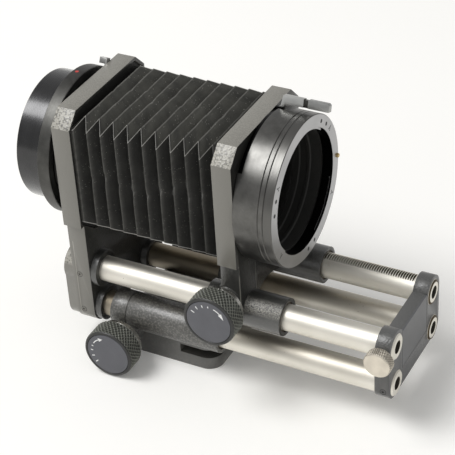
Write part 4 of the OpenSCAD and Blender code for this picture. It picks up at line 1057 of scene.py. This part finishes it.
def lay_floor():
    half = 3.0
    mesh = bpy.data.meshes.new("floor")
    mesh.from_pydata([(-half, -half, 0), (half, -half, 0), (half, half, 0), (-half, half, 0)],
                     [], [(0, 1, 2, 3)])
    floor = new_piece("floor", mesh, white_floor("white table"))


def dress(material, *nodes):
    """Gives CAD nodes their material."""
    for node in nodes:
        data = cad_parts[node].data
        data.materials.clear()
        data.materials.append(material)


def main():
    stove_grey = (0.245, 0.236, 0.208)
    frame_paint = hammered_paint(
        "rear standard paint", stove_grey, (0.032, 0.032, 0.029), glint_share=0.85,
        glint_low=0.46, stem_top=REAR_STEM_TOP_Z + 2 * MM, stem_rear=REAR_FACE_X - 0.1 * MM,
        seam=True)
    front_paint = hammered_paint("front standard paint", stove_grey, (0.014, 0.014, 0.0125),
                                 stem_top=FRONT_STEM_TOP_Z, leg_lines_and_glint=True)
    end_paint = hammered_paint("end plate paint", (0.105, 0.105, 0.102), (0.085, 0.086, 0.088),
                               glint_share=0.35)
    black_paint = textured_black("black wrinkle paint")
    nickel = satin_nickel("satin nickel", UPPER_ROD_Z, -45 * MM)
    low_nickel = satin_nickel("satin nickel, lower", LOWER_ROD_Z, -18 * MM, dark_top=0.6)
    upper_rack = satin_nickel("racked nickel, upper", UPPER_ROD_Z, 22 * MM, racked=True)
    lower_rack = satin_nickel("racked nickel, lower", LOWER_ROD_Z, 48 * MM, racked=True,
                              dark_top=0.7)
    ring_tone = (0.128, 0.126, 0.120)
    ring_black = anodised_black("satin black anodising", ring_tone, 0.34)
    turn_black = anodised_black("dull black anodising", (0.088, 0.087, 0.082), 0.42)
    tube_black = anodised_black("gloss black tube", (0.028, 0.028, 0.029), 0.27, lacquer=0.8)
    face_grey = face_metal("faced grey ring", (0.42, 0.42, 0.425), ring_tone, 0.34)
    brass = plain_metal("turned brass", (0.62, 0.46, 0.22), 0.3)
    steel = plain_metal("turned steel", (0.52, 0.51, 0.48), 0.28)
    blued = plain_metal("blackened screws", (0.018, 0.018, 0.018), 0.45)
    # Bushes kept very dark: an oiled bearing metal, and painted shade of the sleeve bores they sit
    # in.
    bronze_with_painted_shade = plain_metal("oiled bronze", (0.075, 0.058, 0.038), 0.42)
    thumb_nickel = plain_metal("thumb screw nickel", (0.76, 0.70, 0.60), 0.38, grain=0.3 * MM,
                               knurled=True)
    front_lever = lever_metal("front lever grey", (0.56, 0.565, 0.55), (0.006, 0.006, 0.006),
                              notch=(LEVER_END_X - 11.8 * MM, LEVER_END_X - 9.7 * MM))
    rear_lever = lever_metal("rear lever grey", (0.34, 0.34, 0.33), (0.15, 0.15, 0.145))
    cap_grey = dark_plastic("slate cap", (0.098, 0.100, 0.114), 0.36)
    matt_black = dark_plastic("matt black", (0.022, 0.022, 0.020), 0.6, specular=0.4)
    panel_grey = dark_plastic("bare name panel", (0.11, 0.112, 0.118), 0.34)
    red = dark_plastic("red index", (0.62, 0.05, 0.04), 0.4)
    knurled = knurled_black("knurled black")
    print_white = white_print("white print")

    dress(low_nickel, "rod_lower_near")
    dress(nickel, "rod_upper_near", "rear_flange", "focus_shaft", "front_shaft")
    dress(upper_rack, "rod_upper_far")
    dress(lower_rack, "rod_lower_far")
    dress(bronze_with_painted_shade, "carriage_bushes", "front_bushes")
    dress(brass, "focus_bearing", "front_bearing", "focus_pinion", "front_pinion",
          "front_locking_pin")
    dress(steel, "focus_lock_washer", "front_lock_washer", "rear_retainer")
    dress(end_paint, "end_grub_screws")
    dress(frame_paint, "rear_grub_screws")
    dress(blued, "front_face_screws")
    dress(ring_black, "front_barrel", "front_collar")
    dress(turn_black, "rear_hub", "rear_turn_ring")
    dress(tube_black, "rear_tube")
    dress(face_grey, "front_flange")
    dress(matt_black, "front_baffle", "bellows_rear_frame", "bellows_front_frame")
    dress(red, "rear_index_dot")
    dress(panel_grey, "end_panel")

    softened_cast("rear_standard", 0.45 * MM, frame_paint, "rail")
    softened_cast("front_standard", 0.45 * MM, front_paint, "front")
    softened_cast("end_plate", 0.5 * MM, end_paint, "rail")
    softened_cast("carriage_casting", 0.5 * MM, black_paint, "carriage")
    softened_cast("front_lever", 0.2 * MM, front_lever, "lever_front")
    softened_cast("rear_lever", 0.2 * MM, rear_lever, "lever_rear")

    make_bellows(bellows_cloth("coated bellows cloth"))
    knurl = knurl_tree()
    for body, out in (("focus_lock", -1), ("front_lock", -1), ("focus_drive", 1),
                      ("front_drive", 1)):
        knob_piece(body, out, knurled, cap_grey, knurl)
    turn_arrow("focus_lock", 147, 119, 104, (-138, -160, 178, 160), print_white)
    turn_arrow("front_lock", 70, 45, 24, (152, 130, 108, 88), print_white)
    thumb_head(thumb_nickel, knurl)
    screw_rings("end_grub_rings", "end_grub_screws", blued)
    screw_rings("rear_grub_rings", "rear_grub_screws", blued)
    flange_marks(blued)

    place_camera()
    hang_key_box()
    light_room()
    lay_floor()
    bpy.context.scene.view_settings.view_transform = "Standard"


main()
